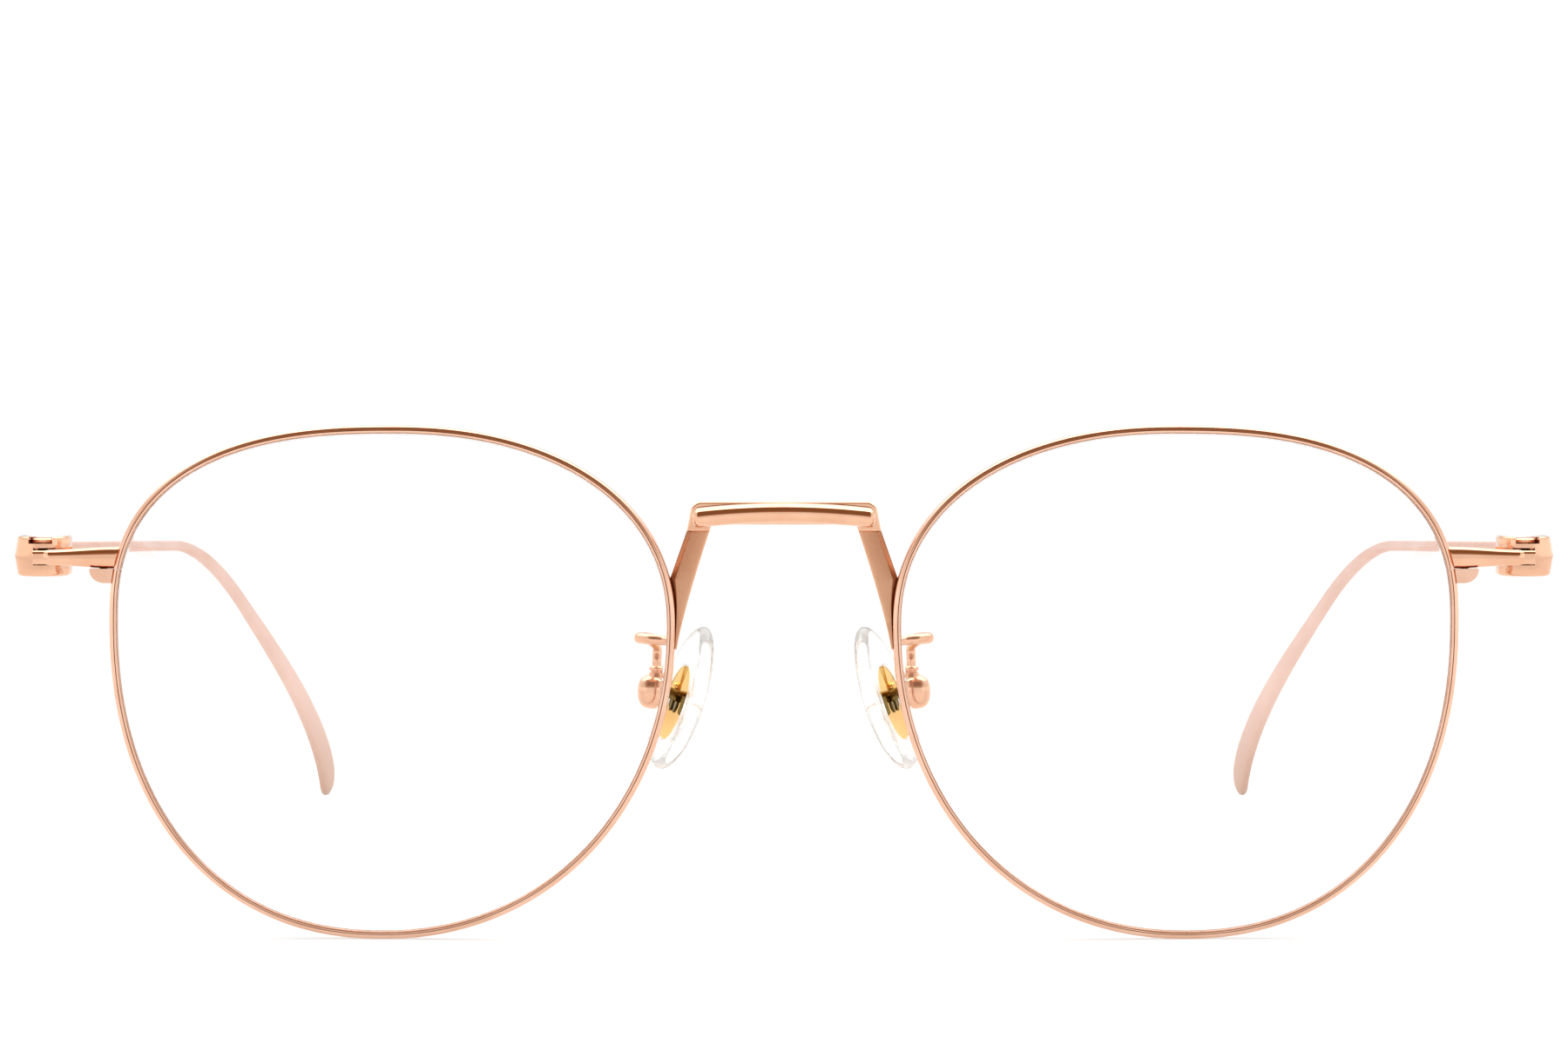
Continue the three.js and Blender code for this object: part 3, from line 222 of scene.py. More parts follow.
class Finishes(bpy.types.PropertyGroup):
    polished: colour("Polished rose gold", "Bridge bar, end pieces, heads and pad arms", 0.80, 0.48, 0.32)
    polished_deep: colour("Polished rose gold, deeper", "Its thinner patches", 0.73, 0.40, 0.25)
    rim: colour("Rim rose gold", "Rim wire and rim locks", 0.83, 0.53, 0.39)
    rim_deep: colour("Rim rose gold, deeper", "Its thinner patches", 0.76, 0.44, 0.30)
    satin: colour("Satin rose gold", "Temples", 0.71, 0.44, 0.345)
    satin_deep: colour("Satin rose gold, deeper", "Its thinner patches", 0.64, 0.37, 0.265)
    # The temples turn to this colour below TIP_TONE above the floor, so they are darker towards the floor.
    tip: colour("Satin rose gold, tips", "The temples' tips, darker towards the floor", 0.46, 0.20, 0.085)
    leg: colour("Brushed rose gold", "Bridge legs", 0.74, 0.43, 0.27)
    leg_deep: colour("Brushed rose gold, deeper", "Its thinner patches", 0.72, 0.37, 0.22)
    # Painted shade: the legs' outer facets take this darker copy of the brushed rose gold, standing for the
    # shade that falls on them.
    side: colour("Brushed side", "The legs' outer facets", 0.40, 0.20, 0.11)
    side_deep: colour("Brushed side, deeper", "Their thinner patches", 0.30, 0.13, 0.07)
    screw: colour("Screw gold", "Rim and hinge screws", 0.80, 0.48, 0.32)
    screw_deep: colour("Screw gold, deeper", "Its thinner patches", 0.66, 0.36, 0.22)
    gold: colour("Yellow gold", "Pad cores and pad screws", 0.82, 0.54, 0.20)
    gold_deep: colour("Yellow gold, deeper", "Its thinner patches", 0.74, 0.44, 0.12)
    # Painted shade: the engraved groove's faces take this dark colour, standing for the dark line that the
    # rims' fronts show under the light; the groove itself is real.
    line: colour("Rim line", "Engraved line round the rims", 0.42, 0.21, 0.12)
    line_deep: colour("Rim line, deeper", "Its deeper stretches", 0.32, 0.15, 0.08)
    # Painted shade: the pad cores' recessed middle and their stalks take this dark gold, standing for the
    # shade seen there through the clear pad.
    olive: colour("Shaded gold", "Recessed middle of the pad cores", 0.26, 0.18, 0.06)
    olive_deep: colour("Shaded gold, deeper", "Its darker stretches", 0.14, 0.09, 0.03)
    lens: colour("Lens", "Clear lens", 1.0, 1.0, 1.0)
    pad: colour("Pad", "Clear nose pad", 1.0, 0.985, 0.96)
    # Painted reflection: the clear pads' colour turns to this dark brown where they are seen edge on,
    # standing for the dark streaks they reflect.
    pad_rim: colour("Pad edge", "Clear nose pad, seen edge on", 0.16, 0.11, 0.085)
    floor: colour("Floor", "Floor and cove", 0.93, 0.93, 0.93)


class StudioSettings(bpy.types.PropertyGroup):
    distance: length("Camera distance", "In front of the rims' middle", 440)
    height: length("Camera height", "Above the floor", 57.2)
    aim: length("Aim height", "Where the camera's axis meets the rims' plane", 38.4)
    floor_radius: length("Floor radius", "Flat part of the floor", 1600)
    cove_radius: length("Cove radius", "Curve from the floor to the wall", 220)
    wall_height: length("Wall height", "Straight wall above the cove", 140)
    cove: share("Cove", "Brightness of the cove", 1.06)
    sky: share("Sky", "Brightness of the soft light all round", 1.0)
    sides: share("Side light", "Brightness of the soft light on both sides", 1.4)
    flank: share("Flank", "How much of the side light the sky takes on at its two sides", 0.3)
    canopy_foot: angle("Canopy foot", "Where it begins, above the horizon behind the camera", -8)
    canopy_full: angle("Canopy full", "Where it has its full depth", 28)
    canopy_edge: angle("Canopy edge", "Its upper edge, where the soft box begins", 73)
    canopy: share("Canopy", "Brightness of the dark canopy above the camera", 0.28)
    canopy_tint: colour("Canopy colour", "The canopy's warm cloth", 1.0, 0.52, 0.24)
    backlight: share("Back light", "Brightness of the soft box behind and above", 3.0)
    box_fade: angle("Soft box fade", "Where the soft box starts to fade, past the top", 118)
    box_end: angle("Soft box end", "Where it has faded out", 150)
    floor_light: share("Floor light", "Share of the cove's light in the floor at the object", 0.62)


class EyeglassesSettings(bpy.types.PropertyGroup):
    rims: PointerProperty(type=RimSizes, name="Rims")
    lenses: PointerProperty(type=LensSizes, name="Lenses")
    bridge: PointerProperty(type=BridgeSizes, name="Bridge")
    hinge: PointerProperty(type=HingeSizes, name="Hinges")
    temples: PointerProperty(type=TempleSizes, name="Temples")
    pads: PointerProperty(type=PadSizes, name="Nose pads")
    finishes: PointerProperty(type=Finishes, name="Finishes")
    studio: PointerProperty(type=StudioSettings, name="Studio")


def drawn(group):
    """A group's values, with its lengths in millimetres, the unit that the pieces are drawn in."""
    values = {}
    for key, prop in group.bl_rna.properties.items():
        if key in ("rna_type", "name"):
            continue
        value = getattr(group, key)
        values[key] = value / MM if prop.unit == "LENGTH" else value
    return SimpleNamespace(**values)


# ---- Meshes ---------------------------------------------------------------------------------------
def loft(rings, start_pole=None, end_pole=None):
    """A skin over a row of rings with equal point counts; each end is flat or runs to a pole."""
    skin = bmesh.new()
    rows = [[skin.verts.new(point) for point in ring] for ring in rings]
    count = len(rings[0])
    for near, far in zip(rows, rows[1:]):
        for j in range(count):
            k = (j + 1) % count
            skin.faces.new((near[j], far[j], far[k], near[k]))
    for row, pole in ((rows[0], start_pole), (rows[-1], end_pole)):
        if pole is None:
            skin.faces.new(row)
            continue
        tip = skin.verts.new(pole)
        for j in range(count):
            skin.faces.new((row[j], row[(j + 1) % count], tip))
    bmesh.ops.recalc_face_normals(skin, faces=skin.faces)
    skin.faces.index_update()
    return skin


def shape(skin):
    """A working object of a bmesh, in millimetres, with room for two finishes."""
    mesh = bpy.data.meshes.new("work")
    skin.to_mesh(mesh)
    mesh.materials.append(None)
    mesh.materials.append(None)
    skin.free()
    work = bpy.data.objects.new("work", mesh)
    bpy.context.scene.collection.objects.link(work)
    return work


def settle(work):
    """Makes an object's modifiers part of its mesh."""
    graph = bpy.context.evaluated_depsgraph_get()
    mesh = bpy.data.meshes.new_from_object(work.evaluated_get(graph))
    work.modifiers.clear()
    work.data = mesh
    return work


def combined(operation, base, *tools):
    """Joins or cuts base with each tool in turn, and uses the tools up."""
    for tool in tools:
        step = base.modifiers.new("step", "BOOLEAN")
        step.operation = operation
        step.solver = "MANIFOLD"
        step.object = tool
        settle(base)
        bpy.data.objects.remove(tool)
    return base


def softened(work, width, segments=3, limit=32):
    """Rounds every edge sharper than the limit."""
    step = work.modifiers.new("edges", "BEVEL")
    step.width = width
    step.segments = segments
    step.limit_method = "ANGLE"
    step.angle_limit = radians(limit)
    step.use_clamp_overlap = True
    return settle(work)


def block(low, high):
    """A box between two corners."""
    corners = [(low[0], low[1]), (high[0], low[1]), (high[0], high[1]), (low[0], high[1])]
    return shape(loft([[(x, y, z) for x, y in corners] for z in (low[2], high[2])]))


def circle(steps):
    """Points round a circle of radius 1."""
    return [(cos(2 * pi * i / steps), sin(2 * pi * i / steps)) for i in range(steps)]


def turned(profile, x=0, y=0, z=0, steps=48):
    """A turned shape about an upright axis: the profile lists (radius, height) from the bottom up."""
    return shape(loft([[Vector((x + radius * a, y + radius * b, z + height)) for a, b in circle(steps)]
                       for radius, height in profile]))


def post(radius, low, high, x, y, steps=48):
    """An upright cylinder."""
    return turned([(radius, low), (radius, high)], x, y, steps=steps)


def plate(outline, front, back):
    """A flat plate of an outline in X and Z, from one depth to another."""
    return shape(loft([[(x, y, z) for x, z in outline] for y in (front, back)]))


def arc(x, z, radius_x, radius_z, start, end, steps):
    """Points along an ellipse's arc, in degrees."""
    points = []
    for i in range(steps + 1):
        turn = radians(start + (end - start) * i / steps)
        points.append((x + radius_x * cos(turn), z + radius_z * sin(turn)))
    return points


def rounded(half_a, half_b, power, steps):
    """Points round a superellipse."""
    def bulged(value):
        return copysign(abs(value) ** (2 / power), value)

    return [(half_a * bulged(a), half_b * bulged(b)) for a, b in circle(steps)]


def smoothed(points, rounds=3):
    """An open line with its corners cut, over and over."""
    for _ in range(rounds):
        cut = [points[0]]
        for here, there in zip(points, points[1:]):
            cut += [here.lerp(there, 0.25), here.lerp(there, 0.75)]
        points = [*cut, points[-1]]
    return points


def spline(points, steps):
    """Points along a smooth curve through the given ones, and the directions there."""
    ends = [2 * points[0] - points[1], *points, 2 * points[-1] - points[-2]]
    line = []
    for a, b, c, d in zip(ends, ends[1:], ends[2:], ends[3:]):
        for i in range(steps):
            t = i / steps
            line.append(0.5 * (2 * b + (c - a) * t + (2 * a - 5 * b + 4 * c - d) * t**2
                               + (3 * b - a - 3 * c + d) * t**3))
    line.append(points[-1].copy())
    ahead = [q - p for p, q in zip(line, line[1:])]
    ahead.append(ahead[-1])
    return line, [direction.normalized() for direction in ahead]


def ease(value, low, high):
    """0 below the low value, 1 above the high one, and a smooth turn between."""
    t = min(1, max(0, (value - low) / (high - low)))
    return t * t * (3 - 2 * t)


def blend(a, b, t):
    return a + (b - a) * t


def put(work, name, finishes, body, node, sign=1, crease=38):
    """Places a copy of a drawn shape in the frame as a finished piece that stands for a CAD node."""
    mesh = work.data.copy()
    mesh.name = name
    mesh.transform(Matrix.Diagonal((sign * MM, MM, MM, 1)))
    mesh.transform(Matrix.Translation(origin()))
    if sign < 0:
        mesh.flip_normals()
    mesh.shade_smooth()
    mesh.set_sharp_from_angle(angle=radians(crease))
    kinds = [min(face.material_index, len(finishes) - 1) for face in mesh.polygons]
    mesh.materials.clear()
    for key in finishes:
        mesh.materials.append(finish_of(key))
    mesh.polygons.foreach_set("material_index", kinds)
    piece = bpy.data.objects.new(name, mesh)
    bpy.context.scene.collection.objects.link(piece)
    even = piece.modifiers.new("even shading", "WEIGHTED_NORMAL")
    even.keep_sharp = True
    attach(piece, body)
    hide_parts(node)


def put_pair(work, name, finishes, node, body, crease):
    """The wearer's left piece and its mirror image on the right."""
    for side, sign in SIDES:
        put(work, f"{side}_{name}", finishes, body.format(side), f"{side}_{node}", sign, crease)
    bpy.data.objects.remove(work)


def origin():
    """The drawing's origin in the frame: at the rims' mean depth, level with their lowest point."""
    low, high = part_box("bridge_bar")
    rims_low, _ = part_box("left_rim")
    forward = bpy.context.scene.eyeglasses.bridge.bar_forward
    return Vector((0, (low.y + high.y) / 2 + forward, rims_low.z))


# ---- Finishes -------------------------------------------------------------------------------------
class Term:
    """A socket in an expression: each sum or product adds its Math node."""

    def __init__(self, nodes, socket):
        self.nodes = nodes
        self.socket = socket

    def _maths(self, operation, first, second=0.0):
        node = self.nodes.add("ShaderNodeMath", {"operation": operation}, {0: first, 1: second})
        return self.nodes.term(node)

    def __add__(self, other):
        return self._maths("ADD", self, other)

    __radd__ = __add__

    def __sub__(self, other):
        return self._maths("SUBTRACT", self, other)

    def __rsub__(self, other):
        return self._maths("SUBTRACT", other, self)

    def __mul__(self, other):
        return self._maths("MULTIPLY", self, other)

    __rmul__ = __mul__

    def __abs__(self):
        return self._maths("ABSOLUTE", self)

    def angle_from(self, other):
        return self._maths("ARCTAN2", self, other)


class Nodes:
    """Adds nodes to one tree."""

    def __init__(self, tree):
        self.tree = tree
        tree.nodes.clear()

    def add(self, kind, settings=None, sockets=None):
        """A node of a type, with its settings, which are set first, and its sockets' values or links."""
        node = self.tree.nodes.new(kind)
        for key, value in (settings or {}).items():
            setattr(node, key, value)
        for key, value in (sockets or {}).items():
            if isinstance(value, Term):
                self.tree.links.new(value.socket, node.inputs[key])
            else:
                node.inputs[key].default_value = value
        return node

    def term(self, node, output=0):
        return Term(self, node.outputs[output])

    def ramp(self, value, low, high):
        """0 below the low value, 1 above the high one, and a smooth turn between."""
        settings = {"interpolation_type": "SMOOTHSTEP"}
        sockets = {"Value": value, "From Min": low, "From Max": high}
        return self.term(self.add("ShaderNodeMapRange", settings, sockets))

    def noise(self, place, scale, detail=2.0, rough=0.5):
        sockets = {"Vector": place, "Scale": scale, "Detail": detail, "Roughness": rough}
        return self.term(self.add("ShaderNodeTexNoise", {"noise_dimensions": "3D"}, sockets))

    def stretched(self, place, factors):
        """The place scaled along each axis, for grain that runs one way."""
        sockets = {0: place, 1: factors}
        return self.term(self.add("ShaderNodeVectorMath", {"operation": "MULTIPLY"}, sockets))

    def mix_colour(self, factor, first, second):
        sockets = {0: factor, 6: first, 7: second}
        return self.term(self.add("ShaderNodeMix", {"data_type": "RGBA"}, sockets), 2)


def finish(name):
    material = bpy.data.materials.new(name)
    material.use_nodes = True
    nodes = Nodes(material.node_tree)
    place = nodes.term(nodes.add("ShaderNodeTexCoord"), "Object")
    return material, nodes, place


def rgba(value):
    return (*value, 1.0)


def plated(name, light, deep, roughness, spread, grain, height, brushed, low):
    """Plated metal: cloudy tone, fine grain and hairline marks; low is its colour close to the floor."""
    wear = 0.35
    material, nodes, place = finish(name)
    clouds = nodes.noise(place, 260.0, 3.0)
    specks = nodes.noise(nodes.stretched(place, brushed), 1 / (grain * MM), 2.0, 0.6)
    hairs = nodes.noise(nodes.stretched(place, (1, 1, 14)), 700.0, 4.0, 0.7)
    marks = nodes.ramp(hairs, 0.58, 0.72)
    tone = nodes.ramp(clouds, 0.3, 0.7) * (1 - wear) + marks * wear
    skin = nodes.mix_colour(tone, rgba(light), rgba(deep))
    if low:
        apart = nodes.add("ShaderNodeSeparateXYZ", None, {0: place})
        height_above = nodes.term(apart, 2) + clouds * 0.003
        skin = nodes.mix_colour(nodes.ramp(height_above, 0.0, TIP_TONE * MM), rgba(low), skin)
    rough = roughness + (specks - 0.5) * spread + marks * (0.4 * spread)
    bump = nodes.add("ShaderNodeBump", None, {
        "Strength": 1.0, "Distance": height * MM, "Height": specks + marks * 0.3,
    })
    shader = nodes.add("ShaderNodeBsdfPrincipled", None, {
        "Base Color": skin, "Metallic": 1.0, "Roughness": rough, "Normal": nodes.term(bump),
    })
    nodes.add("ShaderNodeOutputMaterial", None, {"Surface": nodes.term(shader)})
    return material


def clear(name, tint, rim, index, clarity, ripple, solid):
    """Clear lens or pad material that lets light through; where it is seen edge on, its colour turns towards
    a painted dark reflection.
    """
    material, nodes, place = finish(name)
    waves = nodes.noise(place, 420.0, 2.0)
    dust = nodes.noise(place, 5200.0, 2.0)
    bump = nodes.add("ShaderNodeBump", None, {"Strength": 1.0, "Distance": ripple * MM, "Height": waves})
    slant = nodes.add("ShaderNodeLayerWeight", None, {"Blend": 0.5})
    painted_edge_reflection = nodes.ramp(nodes.term(slant, "Facing"), 0.4, 0.9)
    tone = nodes.mix_colour(painted_edge_reflection * (0.8 + waves * 0.3), rgba(tint), rgba(rim))
    shader = nodes.add("ShaderNodeBsdfPrincipled", None, {
        "Base Color": tone, "Roughness": nodes.ramp(dust, 0.5, 0.9) * clarity + 0.015,
        "IOR": index, "Transmission Weight": 1.0, "Normal": nodes.term(bump),
    })
    seen_by_lamps = nodes.term(nodes.add("ShaderNodeLightPath"), "Is Shadow Ray")
    through = nodes.add("ShaderNodeBsdfTransparent", None, {"Color": rgba(tint)})
    both = nodes.add("ShaderNodeMixShader", None, {
        0: seen_by_lamps * solid + (1 - solid), 1: nodes.term(shader), 2: nodes.term(through),
    })
    nodes.add("ShaderNodeOutputMaterial", None, {"Surface": nodes.term(both)})
    return material


def ground_edge(name, tint):
    """The lens's ground bevel."""
    material, nodes, place = finish(name)
    lines = nodes.noise(nodes.stretched(place, (1, 8, 1)), 2600.0, 3.0)
    bump = nodes.add("ShaderNodeBump", None, {"Strength": 1.0, "Distance": 0.01 * MM, "Height": lines})
    tone = nodes.mix_colour(lines, rgba(tint), (0.93, 0.94, 0.94, 1))
    shader = nodes.add("ShaderNodeBsdfPrincipled", None, {
        "Base Color": tone, "Roughness": 0.35 + lines * 0.2, "IOR": 1.5, "Normal": nodes.term(bump),
    })
    through = nodes.add("ShaderNodeBsdfTransparent", None, {"Color": rgba(tint)})
    both = nodes.add("ShaderNodeMixShader", None, {
        0: 0.12 + lines * 0.1, 1: nodes.term(through), 2: nodes.term(shader),
    })
    nodes.add("ShaderNodeOutputMaterial", None, {"Surface": nodes.term(both)})
    return material


# Each metal's name, roughness and its spread, and its grain's size, height (both in millimetres) and run
EVEN = (1, 1, 1)
METALS = {
    "polished": ("polished rose gold", 0.09, 0.05, 0.35, 0.0009, EVEN),
    "rim": ("rim rose gold", 0.17, 0.08, 0.25, 0.0015, EVEN),
    "line": ("rim line", 0.3, 0.1, 0.1, 0.002, EVEN),
    "olive": ("shaded gold", 0.28, 0.1, 0.12, 0.004, EVEN),
    "satin": ("satin rose gold", 0.42, 0.12, 0.07, 0.006, (1, 0.6, 1)),
    "leg": ("brushed rose gold", 0.34, 0.14, 0.06, 0.006, (3, 1, 0.25)),
    "side": ("brushed side", 0.3, 0.12, 0.06, 0.004, (3, 1, 0.25)),
    "screw": ("screw gold", 0.24, 0.12, 0.08, 0.004, EVEN),
    "gold": ("yellow gold", 0.16, 0.08, 0.2, 0.003, EVEN),
}


def finish_of(key):
    """The finish with this key, made when it is first asked for."""
    c = bpy.context.scene.eyeglasses.finishes
    if key in METALS:
        name, *grain = METALS[key]
        colours = (getattr(c, key), getattr(c, key + "_deep"))
        low = c.tip if key == "satin" else None
        return bpy.data.materials.get(name) or plated(name, *colours, *grain, low)
    name, make, *words = {
        "lens": ("clear lens", clear, c.lens, c.lens, 1.25, 0.0, 0.0004, 0.9),
        "lens_edge": ("ground lens edge", ground_edge, c.lens),
        "pad": ("clear pad", clear, c.pad, c.pad_rim, 1.42, 0.1, 0.004, 0.85),
    }[key]
    return bpy.data.materials.get(name) or make(name, *words)


# ---- The eye's outline ----------------------------------------------------------------------------
class Eye:
    """Outline of the wearer's left eye, nose towards +x, and the sphere that its rim and lens lie on."""

    STEPS = 2400

    def __init__(self, sizes):
        self.sizes = sizes
        half = sizes.eye_height / 2
        self.middle = Vector(((sizes.nose_gap + sizes.eye_width) / 2, 0, half + sizes.thickness / 2))
        self.quarters = []
        for x, z, power, right, up in (
            (sizes.top_shift, sizes.nasal_rise, sizes.nasal_top, 1, 1),
            (sizes.top_shift, sizes.temporal_rise, sizes.temporal_top, -1, 1),
            (sizes.bottom_shift, sizes.temporal_rise, sizes.temporal_bottom, -1, -1),
            (sizes.bottom_shift, sizes.nasal_rise, sizes.nasal_bottom, 1, -1),
        ):
            width = sizes.eye_width / 2 - right * x
            height = half - up * z
            self.quarters.append(SimpleNamespace(
                x=x, z=z, power=power, right=right, up=up, width=width, height=height))
        self.samples = [self.sample(i / self.STEPS) for i in range(self.STEPS + 1)]
        self.reached = [0.0]
        for here, there in zip(self.samples, self.samples[1:]):
            self.reached.append(self.reached[-1] + (there - here).length)
        self.length = self.reached[-1]

    def sample(self, turn):
        """The outline's point after a share of the turn round its middle."""
        quarter = self.quarters[min(3, int(turn * 4))]
        bend = turn * 2 * pi
        x = quarter.width * abs(cos(bend)) ** (2 / quarter.power)
        z = quarter.height * abs(sin(bend)) ** (2 / quarter.power)
        return Vector((quarter.x + quarter.right * x, quarter.z + quarter.up * z))

    def point(self, u):
        """The outline's point at a share of its length, from the nose over the top."""
        goal = (u % 1) * self.length
        i = max(1, bisect_left(self.reached, goal))
        part = (goal - self.reached[i - 1]) / (self.reached[i] - self.reached[i - 1])
        return self.samples[i - 1].lerp(self.samples[i], part)

    def normal(self, u):
        """The outward direction there, in the eye's plane."""
        along = self.point(u + 0.0008) - self.point(u - 0.0008)
        return Vector((along.y, -along.x)).normalized()

    def share_at(self, rise):
        """Share of the length where the temple side has this height."""
        low, high = 0.25, 0.75
        for _ in range(40):
            middle = (low + high) / 2
            if self.point(middle).y > rise:
                low = middle
            else:
                high = middle
        return low

    def depth(self, x, z):
        """How far the sphere lies behind the rims' mean depth."""
        radius = self.sizes.base_radius
        mean = self.sizes.eye_width * self.sizes.eye_height / 4
        return sqrt(radius**2 - mean) - sqrt(radius**2 - x * x - z * z)

    def place(self, x, y, z):
        """Moves a point from the eye's own axes to the drawing's."""
        return Matrix.Rotation(self.sizes.wrap, 3, "Z") @ Vector((-x, y, z)) + self.middle

    def around(self, u, outward, back, scale=1.0):
        """A point off the outline along its normal and off the sphere in depth."""
        p = (self.point(u) + self.normal(u) * outward) * scale
        return self.place(p.x, self.depth(p.x, p.y) + back, p.y)

    def rim_point(self, rise, side):
        """The rim's centre line at a height above the eye's middle, nose side (+1) or temple side (-1)."""
        up = 1 if rise > self.quarters[0 if side > 0 else 1].z else -1
        quarter = next(q for q in self.quarters if q.right == side and q.up == up)
        climb = min(1, abs(rise - quarter.z) / quarter.height)
        x = side * (side * quarter.x + quarter.width * (1 - climb**quarter.power) ** (1 / quarter.power))
        return self.place(x, self.depth(x, rise), rise)


def eye_and_sizes():
    """The eye's outline, and the drawing sizes of every group."""
    settings = bpy.context.scene.eyeglasses
    groups = ("rims", "lenses", "bridge", "hinge", "temples", "pads")
    sizes = SimpleNamespace(**{key: drawn(getattr(settings, key)) for key in groups})
    return Eye(sizes.rims), sizes


# ---- Rims and lenses ------------------------------------------------------------------------------
def rim_section(s):
    """The wire's section as (outward, back): crowned front with a fine line, lens groove, soft back.

    Also returns which of its strips belong to the line.
    """
    half, deep = s.thickness / 2, s.depth / 2

    def crown(outward):
        lean = min(1, abs(outward) / half)
        return -deep + s.crown * (1 - (1 - lean**2.4) ** (1 / 2.4))

    line, width, low = s.line_at, s.line_width, s.line_depth
    turns = [pi / 2 * i / 9 for i in range(10)]
    outer = [half * cos(t) ** 0.9 for t in turns if half * cos(t) ** 0.9 > line + width]
    section = [(a, crown(a)) for a in outer]
    first = len(section)
    level = crown(line)
    section += [(line + width / 2, level), (line, level + low), (line - width / 2, level + 0.02)]
    inner = [-half * sin(t) ** 0.9 for t in turns if -half * sin(t) ** 0.9 < line - width]
    section += [(a, crown(a) + 0.02 * (1 + a / half)) for a in inner]
    mouth, floor = s.groove_half_width, s.groove_depth
    section += [(-half, -mouth - 0.06), (-half + 0.03, -mouth), (-half + 0.8 * floor, -0.14)]
    section += [(-half + floor, 0.0), (-half + 0.8 * floor, 0.14), (-half + 0.03, mouth)]
    section += [(-half, mouth + 0.06)]
    soft = 0.14
    section += arc(-half + soft, deep - soft, soft, soft, 180, 90, 4)
    section += arc(half - soft, deep - soft, soft, soft, 90, 0, 4)
    return section, range(first, first + 2)


def rim_shape(eye, s):
    section, line = rim_section(s.rims)
    parting = s.hinge.rise - s.hinge.arm_rim_height / 2 - s.hinge.lock_parting / 2
    half_cut = s.rims.saw_cut / 2 / eye.length
    start = eye.share_at(parting) + half_cut
    steps = 360
    rings = []
    for i in range(steps + 1):
        u = start + i / steps * (1 - 2 * half_cut)
        rings.append([eye.around(u, outward, back) for outward, back in section])
    skin = loft(rings)
    # Painted shade: the groove's strips take the darker line finish.
    for face in skin.faces:
        if face.index < steps * len(section) and face.index % len(section) in line:
            face.material_index = 1
    return shape(skin)


def lens_shape(eye, s):
    """Front and back on the same sphere as the rim, with a ground bevel that sits in the groove."""
    steps = 160
    front = -s.lenses.front_bulge
    back = front + s.lenses.thickness
    edge = -s.rims.thickness / 2 - s.lenses.clearance
    tip = edge + s.rims.groove_depth - 0.04
    flank = s.rims.groove_half_width - 0.05

    def ring(outward, depth, scale=1.0):
        return [eye.around(i / steps, outward, depth, scale) for i in range(steps)]

    scales = [0.12, 0.25, 0.4, 0.55, 0.7, 0.82, 0.92, 0.999]
    rings = [ring(edge, front, scale) for scale in scales]
    ground = [ring(edge, front + 0.06), ring(edge, -flank), ring(tip, -0.03), ring(tip, 0.03)]
    ground += [ring(edge, flank), ring(edge, back - 0.06)]
    rings += ground
    rings += [ring(edge, back, scale) for scale in reversed(scales)]
    middle = eye.depth(0, 0)
    skin = loft(rings, eye.place(0, middle + front, 0), eye.place(0, middle + back, 0))
    first = (len(scales) - 1) * steps
    last = first + (len(ground) + 1) * steps
    for face in skin.faces:
        if first <= face.index < last:
            face.material_index = 1
    return shape(skin)


# ---- Bridge ---------------------------------------------------------------------------------------
def bar_height(eye, s):
    return eye.middle.z + s.bridge.rise


def bar_shape(eye, s):
    """A straight round bar with a slight arch and full rounded ends."""
    b = s.bridge
    half = b.bar_length / 2
    base = bar_height(eye, s)

    def centre(x):
        return Vector((x, -b.bar_forward, base + b.bar_arch * (0.5 - (x / half) ** 2)))

    dome = 0.62 * b.bar_radius
    straight = half - dome
    stations = [(-straight - dome * cos(t), b.bar_radius * sin(t) ** 0.8)
                for t in (pi / 2 * i / 12 for i in range(1, 12))]
    middle = [(-straight + 2 * straight * i / 40, b.bar_radius) for i in range(41)]
    rings = []
    for x, radius in [*stations, *middle, *((-x, radius) for x, radius in reversed(stations))]:
        rings.append([centre(x) + Vector((0, radius * a, radius * b)) for a, b in circle(48)])
    return shape(loft(rings, centre(-half), centre(half)))


def strap_front(s):
    return -s.bridge.bar_forward + s.bridge.bar_radius + s.bridge.seam


def strap_shape(eye, s):
    """A band behind the bar whose arms spread a little and turn down at its ends."""
    b = s.bridge
    half = b.strap_width / 2
    inner = half - b.strap_band
    top = bar_height(eye, s) + b.bar_radius + b.strap_above
    bottom = bar_height(eye, s) - b.strap_drop
    corner = b.strap_corner
    crest = half - b.strap_lean
    right = [(inner - 0.5 * b.strap_lean, top - b.strap_band), (inner, bottom), (half, bottom)]
    right += arc(crest - corner, top - corner, corner, corner, 8, 90, 12)
    outline = right + [(-x, z) for x, z in reversed(right)]
    front = strap_front(s)
    return softened(plate(outline, front, front + b.strap_thickness), 0.2, 4)


